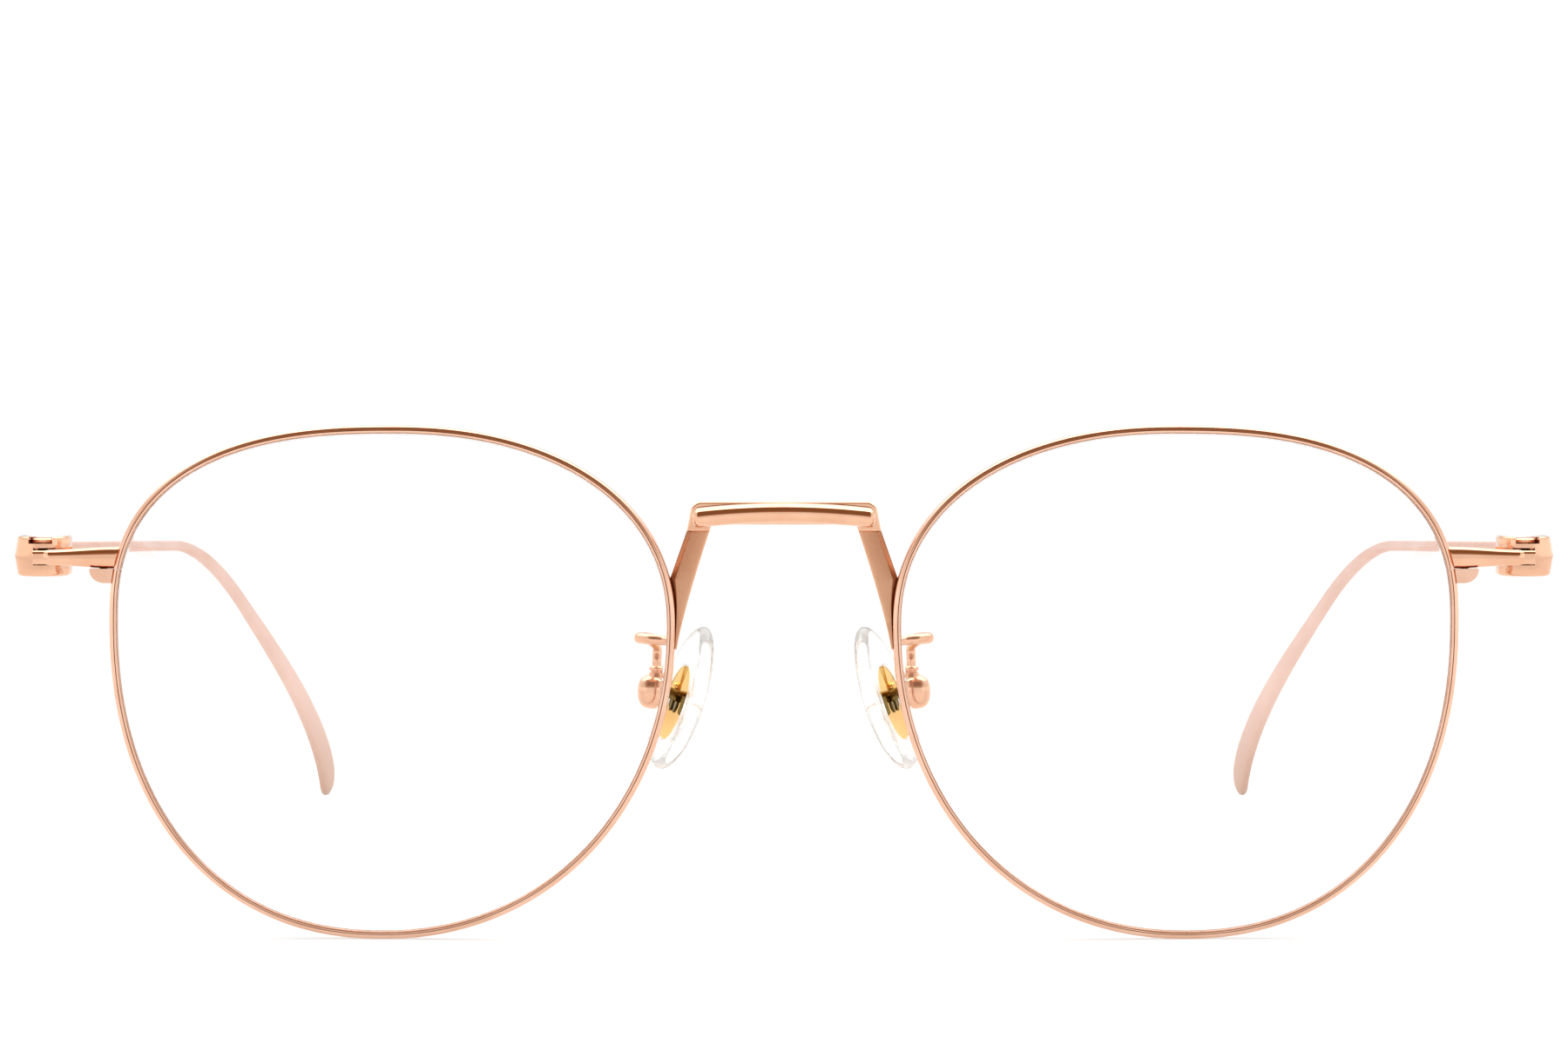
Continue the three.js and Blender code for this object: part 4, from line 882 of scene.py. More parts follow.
def leg_shape(eye, s):
    """A tapered blade from the strap's arm down to a point along the rim."""
    b = s.bridge
    top = bar_height(eye, s) - b.strap_drop + b.braze
    bottom = eye.middle.z + b.leg_bottom
    contact = eye.middle.z + b.leg_contact

    def rim_side(z):
        return eye.rim_point(z - eye.middle.z, 1).x - s.rims.thickness / 2 + b.braze

    outer_top = b.strap_width / 2
    inner_top = outer_top - b.strap_band
    inner_bottom = rim_side(bottom) - b.leg_tip / 3
    tip_front = eye.rim_point(b.leg_bottom, 1).y - b.leg_tip / 2
    steps = 60
    rings = []
    for i in range(steps + 1):
        t = i / steps
        z = blend(top, bottom, t)
        outer = blend(outer_top, rim_side(contact), (top - z) / (top - contact))
        outer = min(outer, rim_side(z))
        inner = blend(inner_top, inner_bottom, 1 - (1 - t) ** b.leg_bulge)
        front = blend(strap_front(s) + 0.12, tip_front, t)
        back = front + blend(b.leg_thickness, b.leg_tip, t)
        facet = 0.22 * (outer - inner)
        corners = [(inner, front + 0.05), (inner + 0.12 * (outer - inner), front), (outer - facet, front)]
        corners += [(outer, front + 0.45 * (back - front)), (outer, back), (inner, back)]
        rings.append([Vector((x, y, z)) for x, y in corners])
    skin = loft(rings)
    # Painted shade: the outer facet's two strips take the darker side finish.
    for face in skin.faces:
        if face.index < steps * 6 and face.index % 6 in (2, 3):
            face.material_index = 1
    return softened(shape(skin), 0.06, 2)


# ---- End pieces, rim locks and their screws -------------------------------------------------------
def hinge_places(eye, s):
    """The places that the end piece, the rim lock, the screws and the temple share."""
    temple_side = eye.rim_point(s.hinge.rise, -1)
    root = temple_side.x + s.rims.thickness / 2 + s.bridge.seam
    height = eye.middle.z + s.hinge.rise
    lock_top = height - s.hinge.arm_rim_height / 2 - s.hinge.lock_parting
    return SimpleNamespace(
        side=temple_side, root=root, height=height, gap=s.bridge.seam + s.bridge.braze,
        x=root + s.hinge.arm_reach, y=temple_side.y + s.hinge.axis_back, screw_x=root + 1.1,
        lock_top=lock_top, lock_bottom=lock_top - s.hinge.lock_height,
        face=lambda z: eye.rim_point(z - eye.middle.z, -1).x + s.rims.thickness / 2 + s.bridge.seam)


def end_piece_shape(eye, s):
    """An arm off the rim that thins towards the hinge, with a tongue whose round end holds the screw."""
    h = s.hinge
    at = hinge_places(eye, s)
    reach = at.x + h.arm_past - at.root
    tip_share = 1 - 1.25 / reach

    def section(share):
        tongue = ease(share, tip_share - 0.03, tip_share + 0.03)
        height = blend(h.arm_rim_height, h.arm_head_height * 1.12, ease(share, 0.05, tip_share) ** 0.9)
        height = blend(height, h.arm_head_height, tongue)
        front = blend(-h.arm_front, -h.arm_front + 0.3, tongue)
        middle, half = (front + h.arm_back) / 2, (h.arm_back - front) / 2
        lean = 1 - ease(share, 0.0, 0.15)
        inset = at.gap * (1 - ease(share, 0.0, 0.06))
        ring = []
        for y, z in rounded(half, height / 2, blend(2.7, 4.5, tongue), 40):
            x = at.root + share * reach + lean * (at.face(at.height + z) - at.root) - inset
            ring.append(Vector((x, at.side.y + middle + y, at.height + z)))
        return ring

    arm = shape(loft([section(i / 56) for i in range(57)]))
    low, high = at.height - h.tongue_height / 2, at.height + h.tongue_height / 2
    web = block((at.x - h.eye_radius, at.side.y, low), (at.x + h.arm_past, at.y, high))
    eye_end = post(h.eye_radius, low, high, at.x, at.y, 72)
    bore = post(h.screw_radius + BORE_PLAY, low - BEYOND, high + BEYOND, at.x, at.y)
    combined("UNION", arm, combined("UNION", web, eye_end))
    combined("DIFFERENCE", arm, bore)
    return softened(arm, 0.05, 2, 50)


def rim_lock_shape(eye, s):
    """A quarter-round tab under the end piece that the rim screw draws up."""
    h = s.hinge
    at = hinge_places(eye, s)
    curved = h.lock_length * 0.6
    tip = at.root + h.lock_length
    top = at.lock_top + 0.9 * h.lock_parting
    outline = [(at.face(at.lock_top) - at.gap, top), (tip, top)]
    outline += arc(tip - curved, at.lock_top, curved, h.lock_height, 0, -90, 16)
    outline += [(at.face(at.lock_bottom) - at.gap, at.lock_bottom)]
    tab = plate(outline, at.side.y - h.lock_depth / 2, at.side.y + h.lock_depth / 2)
    low = at.lock_bottom - BEYOND
    hole = post(LOCK_SCREW + HEAD_PLAY, low, at.lock_top + BEYOND, at.screw_x, at.side.y)
    seat = post(LOCK_SCREW_HEAD + HEAD_PLAY, low, at.lock_bottom + 0.35, at.screw_x, at.side.y)
    combined("DIFFERENCE", tab, hole, seat)
    return softened(tab, 0.2, 4, 40)


def slotted(screw, x, y, z, radius):
    """Cuts a driver slot across a screw's head."""
    long, half, deep = radius + BEYOND, 0.15, 0.22
    slot = block((x - long, y - half, z - deep), (x + long, y + half, z + deep))
    return combined("DIFFERENCE", screw, slot)


def screw_profile(shank, head, low, under, top, thread):
    """Half the outline of a screw that stands on its tip: a threaded shank under a domed head."""
    profile = [(0.02, low), (shank - 0.12, low)]
    z = low + 0.12
    while z < under - 0.05:
        profile += [(shank, z), (shank - 0.05, z + thread / 2)]
        z += thread
    profile += [(shank - 0.02, under), (head - 0.05, under), (head, under + 0.06)]
    rise = top - under
    profile += [(head, under + 0.55 * rise), (0.9 * head, under + 0.82 * rise), (0.7 * head, top - 0.03)]
    return [*profile, (0.35 * head, top - 0.005), (0.02, top)]


def rim_screw_shape(eye, s):
    at = hinge_places(eye, s)
    low = at.lock_bottom + 0.02
    top = at.height + 0.15
    upright = screw_profile(LOCK_SCREW, LOCK_SCREW_HEAD, 0.0, top - low - 0.27, top - low, 0.2)
    screw = turned([(radius, top - z) for radius, z in reversed(upright)], at.screw_x, at.side.y, steps=40)
    return slotted(screw, at.screw_x, at.side.y, low, LOCK_SCREW_HEAD)


# ---- Temple heads, hinge screws and temples -------------------------------------------------------
def head_shape(eye, s):
    """A drum round the hinge axis that tapers back to the wire, slotted for the tongue."""
    h = s.hinge
    at = hinge_places(eye, s)
    radius, long = h.drum_radius, h.head_length
    neck = s.temples.wire * 0.75
    offset = s.temples.offset
    plan = [Vector((radius * cos(a), radius * sin(a)))
            for a in (pi + pi * i / 36 for i in range(37))]
    rear = [(radius, long * 0.25), (radius, long * 0.45), (radius * 0.82, long * 0.8),
            (offset + neck, long), (offset - neck, long),
            (-radius * 0.7, long * 0.72), (-radius, long * 0.3), (-radius, long * 0.12)]
    plan += smoothed([plan[-1], *(Vector(p) for p in rear), plan[0]])[1:-1]

    def layer(z, inset, ridge):
        ring = []
        for p in plan:
            outer = ridge * ease(p.x, 0, radius)
            back = min(1, max(0, (p.y - h.taper_start) / (long - h.taper_start)))
            shrink = 1 - inset / radius
            y = p.y * (1 - inset / long) if p.y > 0 else p.y * shrink
            rise = z * (1 - h.head_taper * back) + s.temples.rise * back
            ring.append(Vector((at.x + p.x * shrink + outer, at.y + y, at.height + rise)))
        return ring

    half, soft = h.head_height / 2, 0.3
    upper = []
    for i in range(6):
        turn = pi / 2 * i / 5
        upper.append((half - soft + soft * sin(turn), soft * (1 - cos(turn)), 0.0))
    straight = [(z * (half - soft), 0.0, h.head_ridge * (1 - abs(z))) for z in (-0.66, -0.33, 0, 0.33, 0.66)]
    layers = [(-z, inset, 0.0) for z, inset, _ in reversed(upper)] + straight + upper
    body = shape(loft([layer(*values) for values in layers]))
    lug_high = at.height + h.tongue_height / 2 + h.tongue_clearance
    lug_low = at.height - h.tongue_height / 2 - h.tongue_clearance
    top, bottom = at.height + half, at.height - half
    seat = top - h.screw_sink - h.screw_head_height
    far = radius + 2
    gap = h.eye_radius + h.tongue_clearance
    above, half_notch = top + BEYOND, h.notch_half_width
    room = combined(
        "UNION",
        post(gap, lug_low, lug_high, at.x, at.y, 72),
        block((at.x - far, at.y - far, lug_low), (at.x + h.arm_past + 0.2, at.y, lug_high)),
        block((at.x - far, at.y - far + 0.01, lug_low), (at.x - 0.01, at.y + gap, lug_high)),
    )
    well = combined(
        "UNION",
        post(h.screw_head_radius + 0.1, seat, above, at.x, at.y, 72),
        block((at.x - half_notch, at.y - far, seat), (at.x + half_notch, at.y, above)),
    )
    bore = post(h.screw_radius + BORE_PLAY, bottom - BEYOND, top + BEYOND, at.x, at.y)
    combined("DIFFERENCE", body, room, well, bore)
    return softened(body, 0.09, 2, 42)


def hinge_screw_shape(eye, s):
    h = s.hinge
    at = hinge_places(eye, s)
    half = h.head_height / 2
    low, top = at.height - half + 0.1, at.height + half - h.screw_sink
    under = top - h.screw_head_height + 0.05
    profile = screw_profile(h.screw_radius, h.screw_head_radius, low, under, top, 0.25)
    screw = turned(profile, at.x, at.y)
    return softened(slotted(screw, at.x, at.y, top, h.screw_head_radius), 0.02, 2, 50)


def temple_runs(t):
    """Length and turn of each stretch of the wire, from the head to the tip."""
    return [(t.straight, 0.0), (t.ear_radius * t.ear_angle, t.ear_angle), (t.tail, 0.0),
            (t.curl_radius * t.curl_angle, t.curl_angle)]


def temple_shape(eye, s):
    """Round wire that bends over the ear and flattens into a paddle."""
    t = s.temples
    at = hinge_places(eye, s)
    total = sum(run for run, _ in temple_runs(t))

    def station(distance):
        y, z = at.y + s.hinge.head_length + s.bridge.seam, at.height + t.rise
        fall, left = t.slope, distance
        for run, bend in temple_runs(t):
            part = min(left, run)
            if bend == 0:
                y += part * cos(fall)
                z -= part * sin(fall)
            else:
                radius = run / bend
                turned_to = fall + part / radius
                y += radius * (sin(turned_to) - sin(fall))
                z -= radius * (cos(fall) - cos(turned_to))
                fall = turned_to
            left -= part
            if left <= 0:
                break
        past = min(1, max(0, (distance - t.inward_start) / (total - t.inward_start)))
        x = at.x + t.offset - t.inward * (1 - cos(pi * past)) / 2
        return Vector((x, y, z)), fall

    def ring(distance):
        centre, fall = station(distance)
        left = total - distance
        widened = min(1, max(0, 1 - left / t.paddle_length))
        half = (t.wire + (t.paddle_width - t.wire) * widened**1.25) / 2
        nose = t.paddle_width * 0.55
        thick = t.wire / 2
        if left < nose:
            half *= sqrt(max(0, 1 - (1 - left / nose) ** 2))
            thick *= max(0.05, 1 - (1 - left / nose) ** 6) ** 0.5
        turn = t.paddle_twist * widened**1.5
        upright = Vector((0, sin(fall), cos(fall)))
        across = upright * cos(turn) - Vector((sin(turn), 0, 0))
        outward = Vector((cos(turn), 0, 0)) + upright * sin(turn)
        points = rounded(thick, max(half, 0.12), blend(2.0, 2.5, widened), 32)
        return [centre + outward * a + across * b for a, b in points]

    nose = t.paddle_width * 0.55
    distances = [(total - nose) * i / 150 for i in range(151)]
    distances += [total - nose * (1 - sin(pi / 2 * i / 16)) - 0.004 for i in range(1, 17)]
    rings = [ring(distance) for distance in distances]
    return shape(loft(rings, None, station(total)[0]))


# ---- Pad arms, boxes, screws, pads and cores ------------------------------------------------------
def pad_places(eye, s):
    """The places that the pad arm, the box, the screw and the pad share."""
    p = s.pads
    side = eye.rim_point(p.arm_rise, 1)
    box = eye.rim_point(p.box_rise, 1)
    middle = Vector((box.x + p.box_out, p.box_back, eye.middle.z + p.box_rise))
    pivot = middle - Vector((p.pivot_offset, 0, 0))
    pad = pivot + Vector((-p.inward, p.back, -p.drop))
    return SimpleNamespace(side=side, box=middle, pivot=pivot, pad=pad, top=middle.z + p.box_height / 2)


def tube(points, radii):
    """A round rod along a smooth curve, thicker or thinner as its radii say."""
    line, ahead = spline(points, 12)
    rings = []
    across = ahead[0].orthogonal().normalized()
    for i, (centre, direction) in enumerate(zip(line, ahead)):
        across = (across - direction * across.dot(direction)).normalized()
        other = direction.cross(across)
        at = i / (len(line) - 1) * (len(radii) - 1)
        k = min(int(at), len(radii) - 2)
        radius = blend(radii[k], radii[k + 1], at - k)
        rings.append([centre + radius * (across * a + other * b) for a, b in circle(20)])
    return shape(loft(rings))


def pad_arm_shape(eye, s):
    """A wire that leaves the rim's back, loops round and comes down to the box."""
    p = s.pads
    at = pad_places(eye, s)
    x, z = at.side.x, at.side.z
    back = at.side.y + s.rims.depth / 2 - s.bridge.braze
    stem = at.box.x - p.stem_offset
    neck_top = at.top + p.neck_height - s.bridge.braze
    far = x + p.loop_reach
    near = back + p.loop_back
    loop = p.loop_depth
    route = [
        (x, back, z), (x, back + 0.5 * p.loop_back, z), (x + 0.9, near, z + 0.05),
        (far - loop / 2, near + 0.05, z + 0.15), (far, near + loop / 2, z + 0.2),
        (far - loop / 2, near + loop, z + 0.1), (stem + 0.5, near + loop + 0.2, z - 0.15),
        (stem, p.box_back, z - 0.9),
        (stem, p.box_back, neck_top + 0.5), (stem, p.box_back, neck_top),
    ]
    r = p.arm_radius
    radii = [r, r, r, 1.12 * r, 1.2 * r, 1.12 * r, r, r, r, r]
    return softened(tube([Vector(point) for point in route], radii), 0.04, 2, 50)


def along_y(profile, middle, steps=48):
    """A turned shape whose axis runs front to back through a point."""
    work = turned(profile, steps=steps)
    work.data.transform(Matrix.Translation(middle) @ Matrix.Rotation(-pi / 2, 4, "X"))
    return work


def rod_y(radius, low, high, middle, steps=48):
    """A cylinder that lies front to back."""
    return along_y([(radius, low), (radius, high)], middle, steps)


def pad_box_shape(eye, s):
    """A rounded box under a ridged collar, open towards the nose for the pad's lug."""
    p = s.pads
    at = pad_places(eye, s)
    x, y, z = at.box
    rings = []
    layers = 28
    for i in range(1, layers):
        turn = pi * i / layers - pi / 2
        lift = copysign(abs(sin(turn)) ** (2 / 2.5), turn)
        wide = abs(cos(turn)) ** (2 / 2.5)
        outline = rounded(p.box_width / 2 * wide, p.box_depth / 2 * wide, 2.5, 56)
        rings.append([Vector((x + a, y + b, z + lift * p.box_height / 2)) for a, b in outline])
    half = Vector((0, 0, p.box_height / 2))
    box = shape(loft(rings, at.box - half, at.box + half))
    ridge, groove, step = p.neck_radius, p.neck_radius - 0.16, p.neck_height / 4
    profile = [(ridge * 1.15, -0.6), (ridge * 1.1, -0.1), (ridge, 0.5 * step), (ridge, step)]
    profile += [(groove, 1.4 * step), (groove, 1.8 * step), (ridge, 2.2 * step), (ridge + 0.02, 2.8 * step)]
    profile += [(ridge, 3.3 * step), (groove, p.neck_height)]
    neck = turned(profile, x - p.stem_offset, y, at.top)
    combined("UNION", box, neck)
    gap = p.lug_thickness / 2 + p.lug_clearance
    deep = p.lug_radius + p.lug_clearance
    wide, tall = gap - 0.001, deep + 0.35
    mouth = block((x - p.box_width, y - wide, z - tall), (at.pivot.x, y + wide, z + tall))
    room = combined("UNION", rod_y(deep, -gap, gap, at.pivot), mouth)
    hole = rod_y(p.screw_radius + HEAD_PLAY, -p.box_depth / 2 + 0.4, p.box_depth, at.pivot)
    seat = rod_y(p.screw_head_radius + HEAD_PLAY, p.box_depth / 2 - 0.3, p.box_depth, at.pivot)
    combined("DIFFERENCE", box, room, hole, seat)
    return softened(box, 0.05, 2, 45)


def pad_screw_shape(eye, s):
    p = s.pads
    at = pad_places(eye, s)
    half = p.box_depth / 2
    profile = screw_profile(p.screw_radius, p.screw_head_radius, -half + 0.45, half - 0.25, half + 0.08, 0.2)
    screw = turned(profile, steps=40)
    slotted(screw, 0, 0, half + 0.02, p.screw_head_radius)
    screw.data.transform(Matrix.Translation(at.pivot) @ Matrix.Rotation(-pi / 2, 4, "X"))
    return softened(screw, 0.02, 2, 50)


def pad_frame(eye, s):
    """The pad's place and turn, for shapes drawn with x to the ear side, y as width and z as height."""
    turn = Matrix.Rotation(-s.pads.frontal, 4, "Y") @ Matrix.Rotation(-s.pads.splay, 4, "Z")
    return Matrix.Translation(pad_places(eye, s).pad) @ turn


def pad_shape(eye, s):
    """A clear oval cushion: full towards the nose, nearly flat behind, with a pocket for its core."""
    p = s.pads
    away = p.thickness * 0.35
    full = p.thickness - away

    def ring(share, x):
        return [Vector((x, p.width / 2 * share * a * (1 - 0.1 * b), p.height / 2 * share * b))
                for a, b in circle(72)]

    rings = []
    for i in range(1, 15):
        turn = pi / 2 * i / 14
        rings.append(ring(sin(turn) ** 0.86, -full * cos(turn)))
    for i in range(1, 9):
        turn = pi / 2 * i / 8
        rings.append(ring(1 - 0.19 * (1 - cos(turn)), away * sin(turn)))
    for scale in (0.74, 0.66):
        rings.append(ring(scale, away - 0.06))
    pad = shape(loft(rings, Vector((-full, 0, 0))))
    floor = away - p.core_thickness * 1.4 - HEAD_PLAY
    pocket = core_plate(p, HEAD_PLAY, floor, away + BEYOND, p.core_drop)
    combined("DIFFERENCE", pad, pocket)
    softened(pad, 0.05, 2, 60).data.transform(pad_frame(eye, s))
    return pad


def slab(outline, start, end, drop=0):
    """A flat piece of the pad's core, from one x to another."""
    return shape(loft([[Vector((x, y, z - drop)) for y, z in outline] for x in (start, end)]))


def core_plate(p, grow, low, high, drop):
    """The core's oval plate, or the pocket that it lies in."""
    outline = rounded(p.core_height / 2 + grow, p.core_width / 2 + grow, 2.1, 56)
    return slab([(y, z) for z, y in outline], low, high, drop)


def core_shape(eye, s):
    """A gold plate with two petals above and a tongue below, and the lug that the screw holds."""
    p = s.pads
    at = pad_places(eye, s)
    away = p.thickness * 0.35
    face = away - p.core_thickness * 0.4
    low = face - p.core_thickness
    leaf = core_plate(p, 0, low, face, 0)
    tip = p.core_height / 2 + 0.2
    below, above = low - BEYOND, face + BEYOND
    petals = slab([(-0.6, tip), (0.6, tip), (0.14, 1.2), (-0.14, 1.2)], below, above)
    flanks = [slab([(side * 2.6, 1.15), (side * 2.6, -1.05), (side * 1.25, -0.75), (side * 1.25, 0.85)],
                   below, above) for side in (-1, 1)]
    well = slab(rounded(1.05, 0.8, 4.0, 40), face - 0.22, above)
    combined("DIFFERENCE", leaf, petals, *flanks, well)
    for y in (-0.45, 0.45):
        rib = slab([(y + a, b) for a, b in rounded(0.16, 0.92, 3.0, 20)], face - 0.3, face + 0.12)
        combined("UNION", leaf, rib)
    knob = turned([(0.3, 0.0), (0.46, 0.1), (0.5, 0.3), (0.42, 0.5), (0.22, 0.6), (0.03, 0.62)], steps=32)
    knob.data.transform(Matrix.Translation((face - 0.2, 0.75, 1.35)) @ Matrix.Rotation(pi / 2, 4, "Y"))
    combined("UNION", leaf, knob)
    # Painted shade: the recessed middle takes the dark gold finish.
    for facet in leaf.data.polygons:
        corners = [leaf.data.vertices[i].co for i in facet.vertices]
        if all(abs(corner.y) < 1.3 and abs(corner.z) < 1.1 for corner in corners):
            facet.material_index = 1
    leaf.data.transform(Matrix.Translation((0, 0, -p.core_drop)))
    leaf.data.transform(pad_frame(eye, s))
    half = p.lug_thickness / 2
    tall = p.lug_radius * 0.8
    root = pad_frame(eye, s) @ Vector((face - p.core_thickness / 2, 0, 0))
    bend = at.pivot - Vector((p.lug_radius + 0.6, 0, 0))

    def ring(centre):
        outline = rounded(half, tall, 4.0, 32)
        return [Vector((centre.x, centre.y + a, centre.z + b)) for a, b in outline]

    stalk = shape(loft([ring(at.pivot - Vector((0.05, 0, 0))), ring(bend), ring(root)]))
    # Painted shade: the stalk takes the dark gold finish too.
    for facet in stalk.data.polygons:
        facet.material_index = 1
    combined("UNION", leaf, stalk, rod_y(p.lug_radius, -half, half, at.pivot))
    combined("DIFFERENCE", leaf, rod_y(p.screw_radius + BORE_PLAY, -BEYOND, BEYOND, at.pivot))
    return softened(leaf, 0.05, 2, 40)


# ---- Operators ------------------------------------------------------------------------------------
def make_pairs(*kinds, body="front", crease=38):
    """Draws each kind of piece and places it on both sides."""
    eye, sizes = eye_and_sizes()
    for draw, name, finishes, slot, node in kinds:
        put_pair(draw(eye, sizes), name, finishes, node, body, crease)
    return {"FINISHED"}


class EYEGLASSES_OT_rims(bpy.types.Operator):
    """Add the two grooved rim wires"""

    bl_idname = "eyeglasses.rims"
    bl_label = "Rims"

    def execute(self, context):
        return make_pairs((rim_shape, "rim_wire", ("rim", "line"), "rim_rose_gold", "rim"))


class EYEGLASSES_OT_lenses(bpy.types.Operator):
    """Add the two clear lenses with their ground bevels"""

    bl_idname = "eyeglasses.lenses"
    bl_label = "Lenses"

    def execute(self, context):
        return make_pairs((lens_shape, "clear_lens", ("lens", "lens_edge"), "clear_lens", "lens"))


class EYEGLASSES_OT_bridge(bpy.types.Operator):
    """Add the bridge bar, the strap behind it and its two legs"""

    bl_idname = "eyeglasses.bridge"
    bl_label = "Bridge"

    def execute(self, context):
        eye, sizes = eye_and_sizes()
        for draw, name, node in (
            (bar_shape, "polished_bar", "bridge_bar"),
            (strap_shape, "strap_band", "bridge_strap"),
        ):
            work = draw(eye, sizes)
            put(work, name, ("polished",), "front", node)
            bpy.data.objects.remove(work)
        return make_pairs((leg_shape, "leg_blade", ("leg", "side"), "satin_rose_gold", "bridge_leg"))


class EYEGLASSES_OT_end_pieces(bpy.types.Operator):
    """Add the end pieces, the rim locks and their screws"""

    bl_idname = "eyeglasses.end_pieces"
    bl_label = "End pieces"

    def execute(self, context):
        return make_pairs(
            (end_piece_shape, "end_arm", ("polished",), "polished_rose_gold", "end_piece"),
            (rim_lock_shape, "lock_tab", ("rim",), "rim_rose_gold", "rim_lock"),
            (rim_screw_shape, "lock_screw", ("screw",), "screw_rose_gold", "rim_screw"),
        )


class EYEGLASSES_OT_hinges(bpy.types.Operator):
    """Add the temple heads and the hinge screws"""

    bl_idname = "eyeglasses.hinges"
    bl_label = "Hinges"

    def execute(self, context):
        return make_pairs(
            (head_shape, "hinge_head", ("polished",), "polished_rose_gold", "temple_head"),
            (hinge_screw_shape, "axis_screw", ("screw",), "screw_rose_gold", "hinge_screw"),
            body="{}_temple_arm",
        )


class EYEGLASSES_OT_temples(bpy.types.Operator):
    """Add the two temples with their paddle tips"""

    bl_idname = "eyeglasses.temples"
    bl_label = "Temples"

    def execute(self, context):
        wire = (temple_shape, "temple_wire", ("satin",), "satin_rose_gold", "temple")
        return make_pairs(wire, body="{}_temple_arm")


class EYEGLASSES_OT_pads(bpy.types.Operator):
    """Add the pad arms, pad boxes, pad screws, clear pads and their gold cores"""

    bl_idname = "eyeglasses.pads"
    bl_label = "Nose pads"

    def execute(self, context):
        make_pairs(
            (pad_arm_shape, "pad_wire", ("polished",), "polished_rose_gold", "pad_arm"),
            (pad_box_shape, "pad_socket", ("polished",), "polished_rose_gold", "pad_box"),
            (pad_screw_shape, "socket_screw", ("gold",), "yellow_gold", "pad_screw"),
        )
        cushion = (pad_shape, "clear_pad", ("pad",), "clear_pad", "nose_pad")
        make_pairs(cushion, body="{}_pad", crease=50)
        core = (core_shape, "gold_core", ("gold", "olive"), "yellow_gold", "pad_core")
        return make_pairs(core, body="{}_pad")


# ---- Studio ---------------------------------------------------------------------------------------
def add_camera(studio):
    data = bpy.data.cameras.new("Camera")
    data.lens = 110
    data.sensor_width = 36
    data.clip_start = 0.01
    data.clip_end = 50
    camera = bpy.data.objects.new("Camera", data)
    bpy.context.scene.collection.objects.link(camera)
    front = origin().y
    camera.location = (0, front - studio.distance, studio.height)
    pitch = atan2(studio.height - studio.aim, studio.distance)
    camera.rotation_euler = (pi / 2 - pitch, 0, 0)
    bpy.context.scene.camera = camera


def floor_material(tint, studio):
    """Matt pale floor that turns into an evenly lit cove, brighter at its two sides."""
    glow, side_glow, near = studio.cove, studio.sides, studio.floor_light
    material, nodes, place = finish("studio paper")
    mottle = nodes.noise(place, 90.0, 3.0)
    tone = nodes.mix_colour(mottle, rgba(tint), rgba([0.985 * value for value in tint]))
    paper = nodes.add("ShaderNodeBsdfDiffuse", None, {"Color": tone})
    reach = nodes.add("ShaderNodeVectorMath", {"operation": "LENGTH"}, {0: place})
    apart = nodes.add("ShaderNodeSeparateXYZ", None, {0: place})
    sides = nodes.ramp(abs(nodes.term(apart, 0)), 0.45, 1.1)
    shine = nodes.mix_colour(sides, rgba([glow / side_glow] * 3), (1, 1, 1, 1))
    lit = nodes.add("ShaderNodeEmission", None, {"Color": shine, "Strength": side_glow})
    even = near + nodes.ramp(nodes.term(reach, 1), 0.2, 0.6) * (1 - near)
    both = nodes.add("ShaderNodeMixShader", None, {0: even, 1: nodes.term(paper), 2: nodes.term(lit)})
    nodes.add("ShaderNodeOutputMaterial", None, {"Surface": nodes.term(both)})
    return material


def add_floor(studio, tint):
    """A round pale floor with a cove and a low wall."""
    flat, curve = studio.floor_radius, studio.cove_radius
    profile = [(flat * share, 0.0) for share in (0.1, 0.4, 1.0)]
    profile += [(flat + curve * sin(a), curve * (1 - cos(a)))
                for a in (pi / 2 * i / 16 for i in range(1, 17))]
    profile.append((flat + curve, curve + studio.wall_height))
    skin = bmesh.new()
    steps = 128
    rows = []
    for radius, height in profile:
        rows.append([skin.verts.new((radius * a, radius * b, height)) for a, b in circle(steps)])
    for near, far in zip(rows, rows[1:]):
        for j in range(steps):
            k = (j + 1) % steps
            skin.faces.new((near[j], far[j], far[k], near[k]))
    skin.faces.new(reversed(rows[0]))
    bmesh.ops.recalc_face_normals(skin, faces=skin.faces)
    mesh = bpy.data.meshes.new("floor")
    skin.to_mesh(mesh)
    skin.free()
    mesh.shade_smooth()
    mesh.materials.append(floor_material(tint, studio))
    floor = bpy.data.objects.new("floor", mesh)
    bpy.context.scene.collection.objects.link(floor)


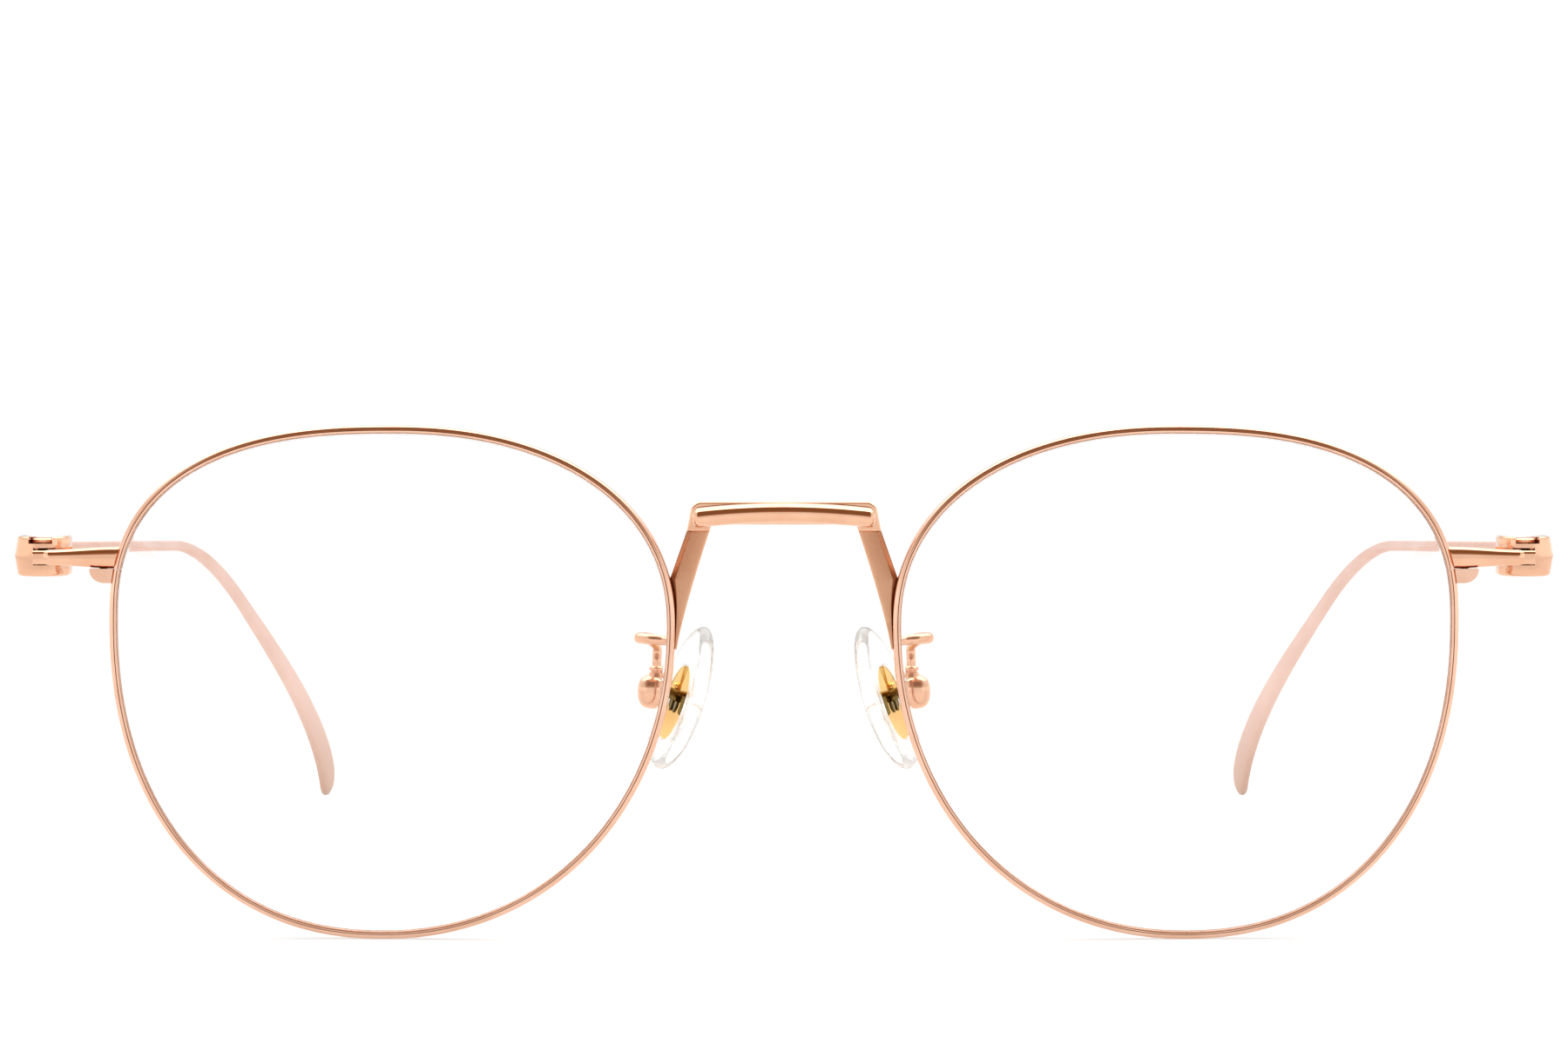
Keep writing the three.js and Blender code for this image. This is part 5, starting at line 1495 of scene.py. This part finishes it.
def light_studio(studio):
    """Soft light all round, a brighter soft box behind and above, and a dark canopy over the camera."""
    world = bpy.data.worlds.new("studio")
    bpy.context.scene.world = world
    world.use_nodes = True
    nodes = Nodes(world.node_tree)
    way = nodes.term(nodes.add("ShaderNodeTexCoord"), "Generated")
    apart = nodes.add("ShaderNodeSeparateXYZ", None, {0: way})
    x, y, z = (nodes.term(apart, i) for i in range(3))
    climb = z.angle_from(0 - y)
    sideways = abs(x)
    blur = 0.03
    edge = nodes.ramp(climb, studio.canopy_edge - blur, studio.canopy_edge + blur)
    dark = nodes.ramp(climb, studio.canopy_foot, studio.canopy_full) * (1 - edge)
    dark = dark * (1 - nodes.ramp(sideways, 0.4, 0.75))
    flank = nodes.ramp(sideways, 0.5, 0.85) * studio.flank
    bright = edge * (1 - nodes.ramp(climb, studio.box_fade, studio.box_end))
    bright = bright * (1 - nodes.ramp(sideways, 0.6, 0.85))
    soft = studio.sky + flank * (studio.sides - studio.sky)
    strength = soft + bright * (studio.backlight - soft) - dark * (soft - studio.canopy)
    tint = nodes.mix_colour(dark, (1, 1, 1, 1), rgba(studio.canopy_tint))
    light = nodes.add("ShaderNodeBackground", None, {"Color": tint, "Strength": strength})
    nodes.add("ShaderNodeOutputWorld", None, {"Surface": nodes.term(light)})


class EYEGLASSES_OT_stage(bpy.types.Operator):
    """Add the camera, the pale floor and the soft studio light"""

    bl_idname = "eyeglasses.stage"
    bl_label = "Studio"

    def execute(self, context):
        settings = context.scene.eyeglasses
        add_camera(settings.studio)
        add_floor(settings.studio, settings.finishes.floor)
        light_studio(settings.studio)
        context.scene.view_settings.view_transform = "Standard"
        return {"FINISHED"}


OPERATORS = (
    EYEGLASSES_OT_stage, EYEGLASSES_OT_rims, EYEGLASSES_OT_lenses, EYEGLASSES_OT_bridge,
    EYEGLASSES_OT_end_pieces, EYEGLASSES_OT_hinges, EYEGLASSES_OT_temples, EYEGLASSES_OT_pads,
)


class EYEGLASSES_PT_panel(bpy.types.Panel):
    """Lists the groups of pieces and their sizes"""

    bl_idname = "EYEGLASSES_PT_panel"
    bl_label = "Eyeglasses"
    bl_space_type = "VIEW_3D"
    bl_region_type = "UI"
    bl_category = "Eyeglasses"

    def draw(self, context):
        settings = context.scene.eyeglasses
        for operator in OPERATORS:
            self.layout.operator(operator.bl_idname)
        for key in ("rims", "lenses", "bridge", "hinge", "temples", "pads", "finishes", "studio"):
            group = getattr(settings, key)
            box = self.layout.box()
            box.label(text=settings.bl_rna.properties[key].name)
            for name in group.bl_rna.properties.keys():
                if name not in ("rna_type", "name"):
                    box.prop(group, name)


CLASSES = (
    RimSizes, LensSizes, BridgeSizes, HingeSizes, TempleSizes, PadSizes, Finishes, StudioSettings,
    EyeglassesSettings, *OPERATORS, EYEGLASSES_PT_panel,
)


def register():
    for item in CLASSES:
        bpy.utils.register_class(item)
    bpy.types.Scene.eyeglasses = PointerProperty(type=EyeglassesSettings)


def unregister():
    del bpy.types.Scene.eyeglasses
    for item in reversed(CLASSES):
        bpy.utils.unregister_class(item)


def main():
    register()
    bpy.ops.eyeglasses.stage()
    bpy.ops.eyeglasses.rims()
    bpy.ops.eyeglasses.lenses()
    bpy.ops.eyeglasses.bridge()
    bpy.ops.eyeglasses.end_pieces()
    bpy.ops.eyeglasses.hinges()
    bpy.ops.eyeglasses.temples()
    bpy.ops.eyeglasses.pads()


if __name__ == "__main__":
    main()
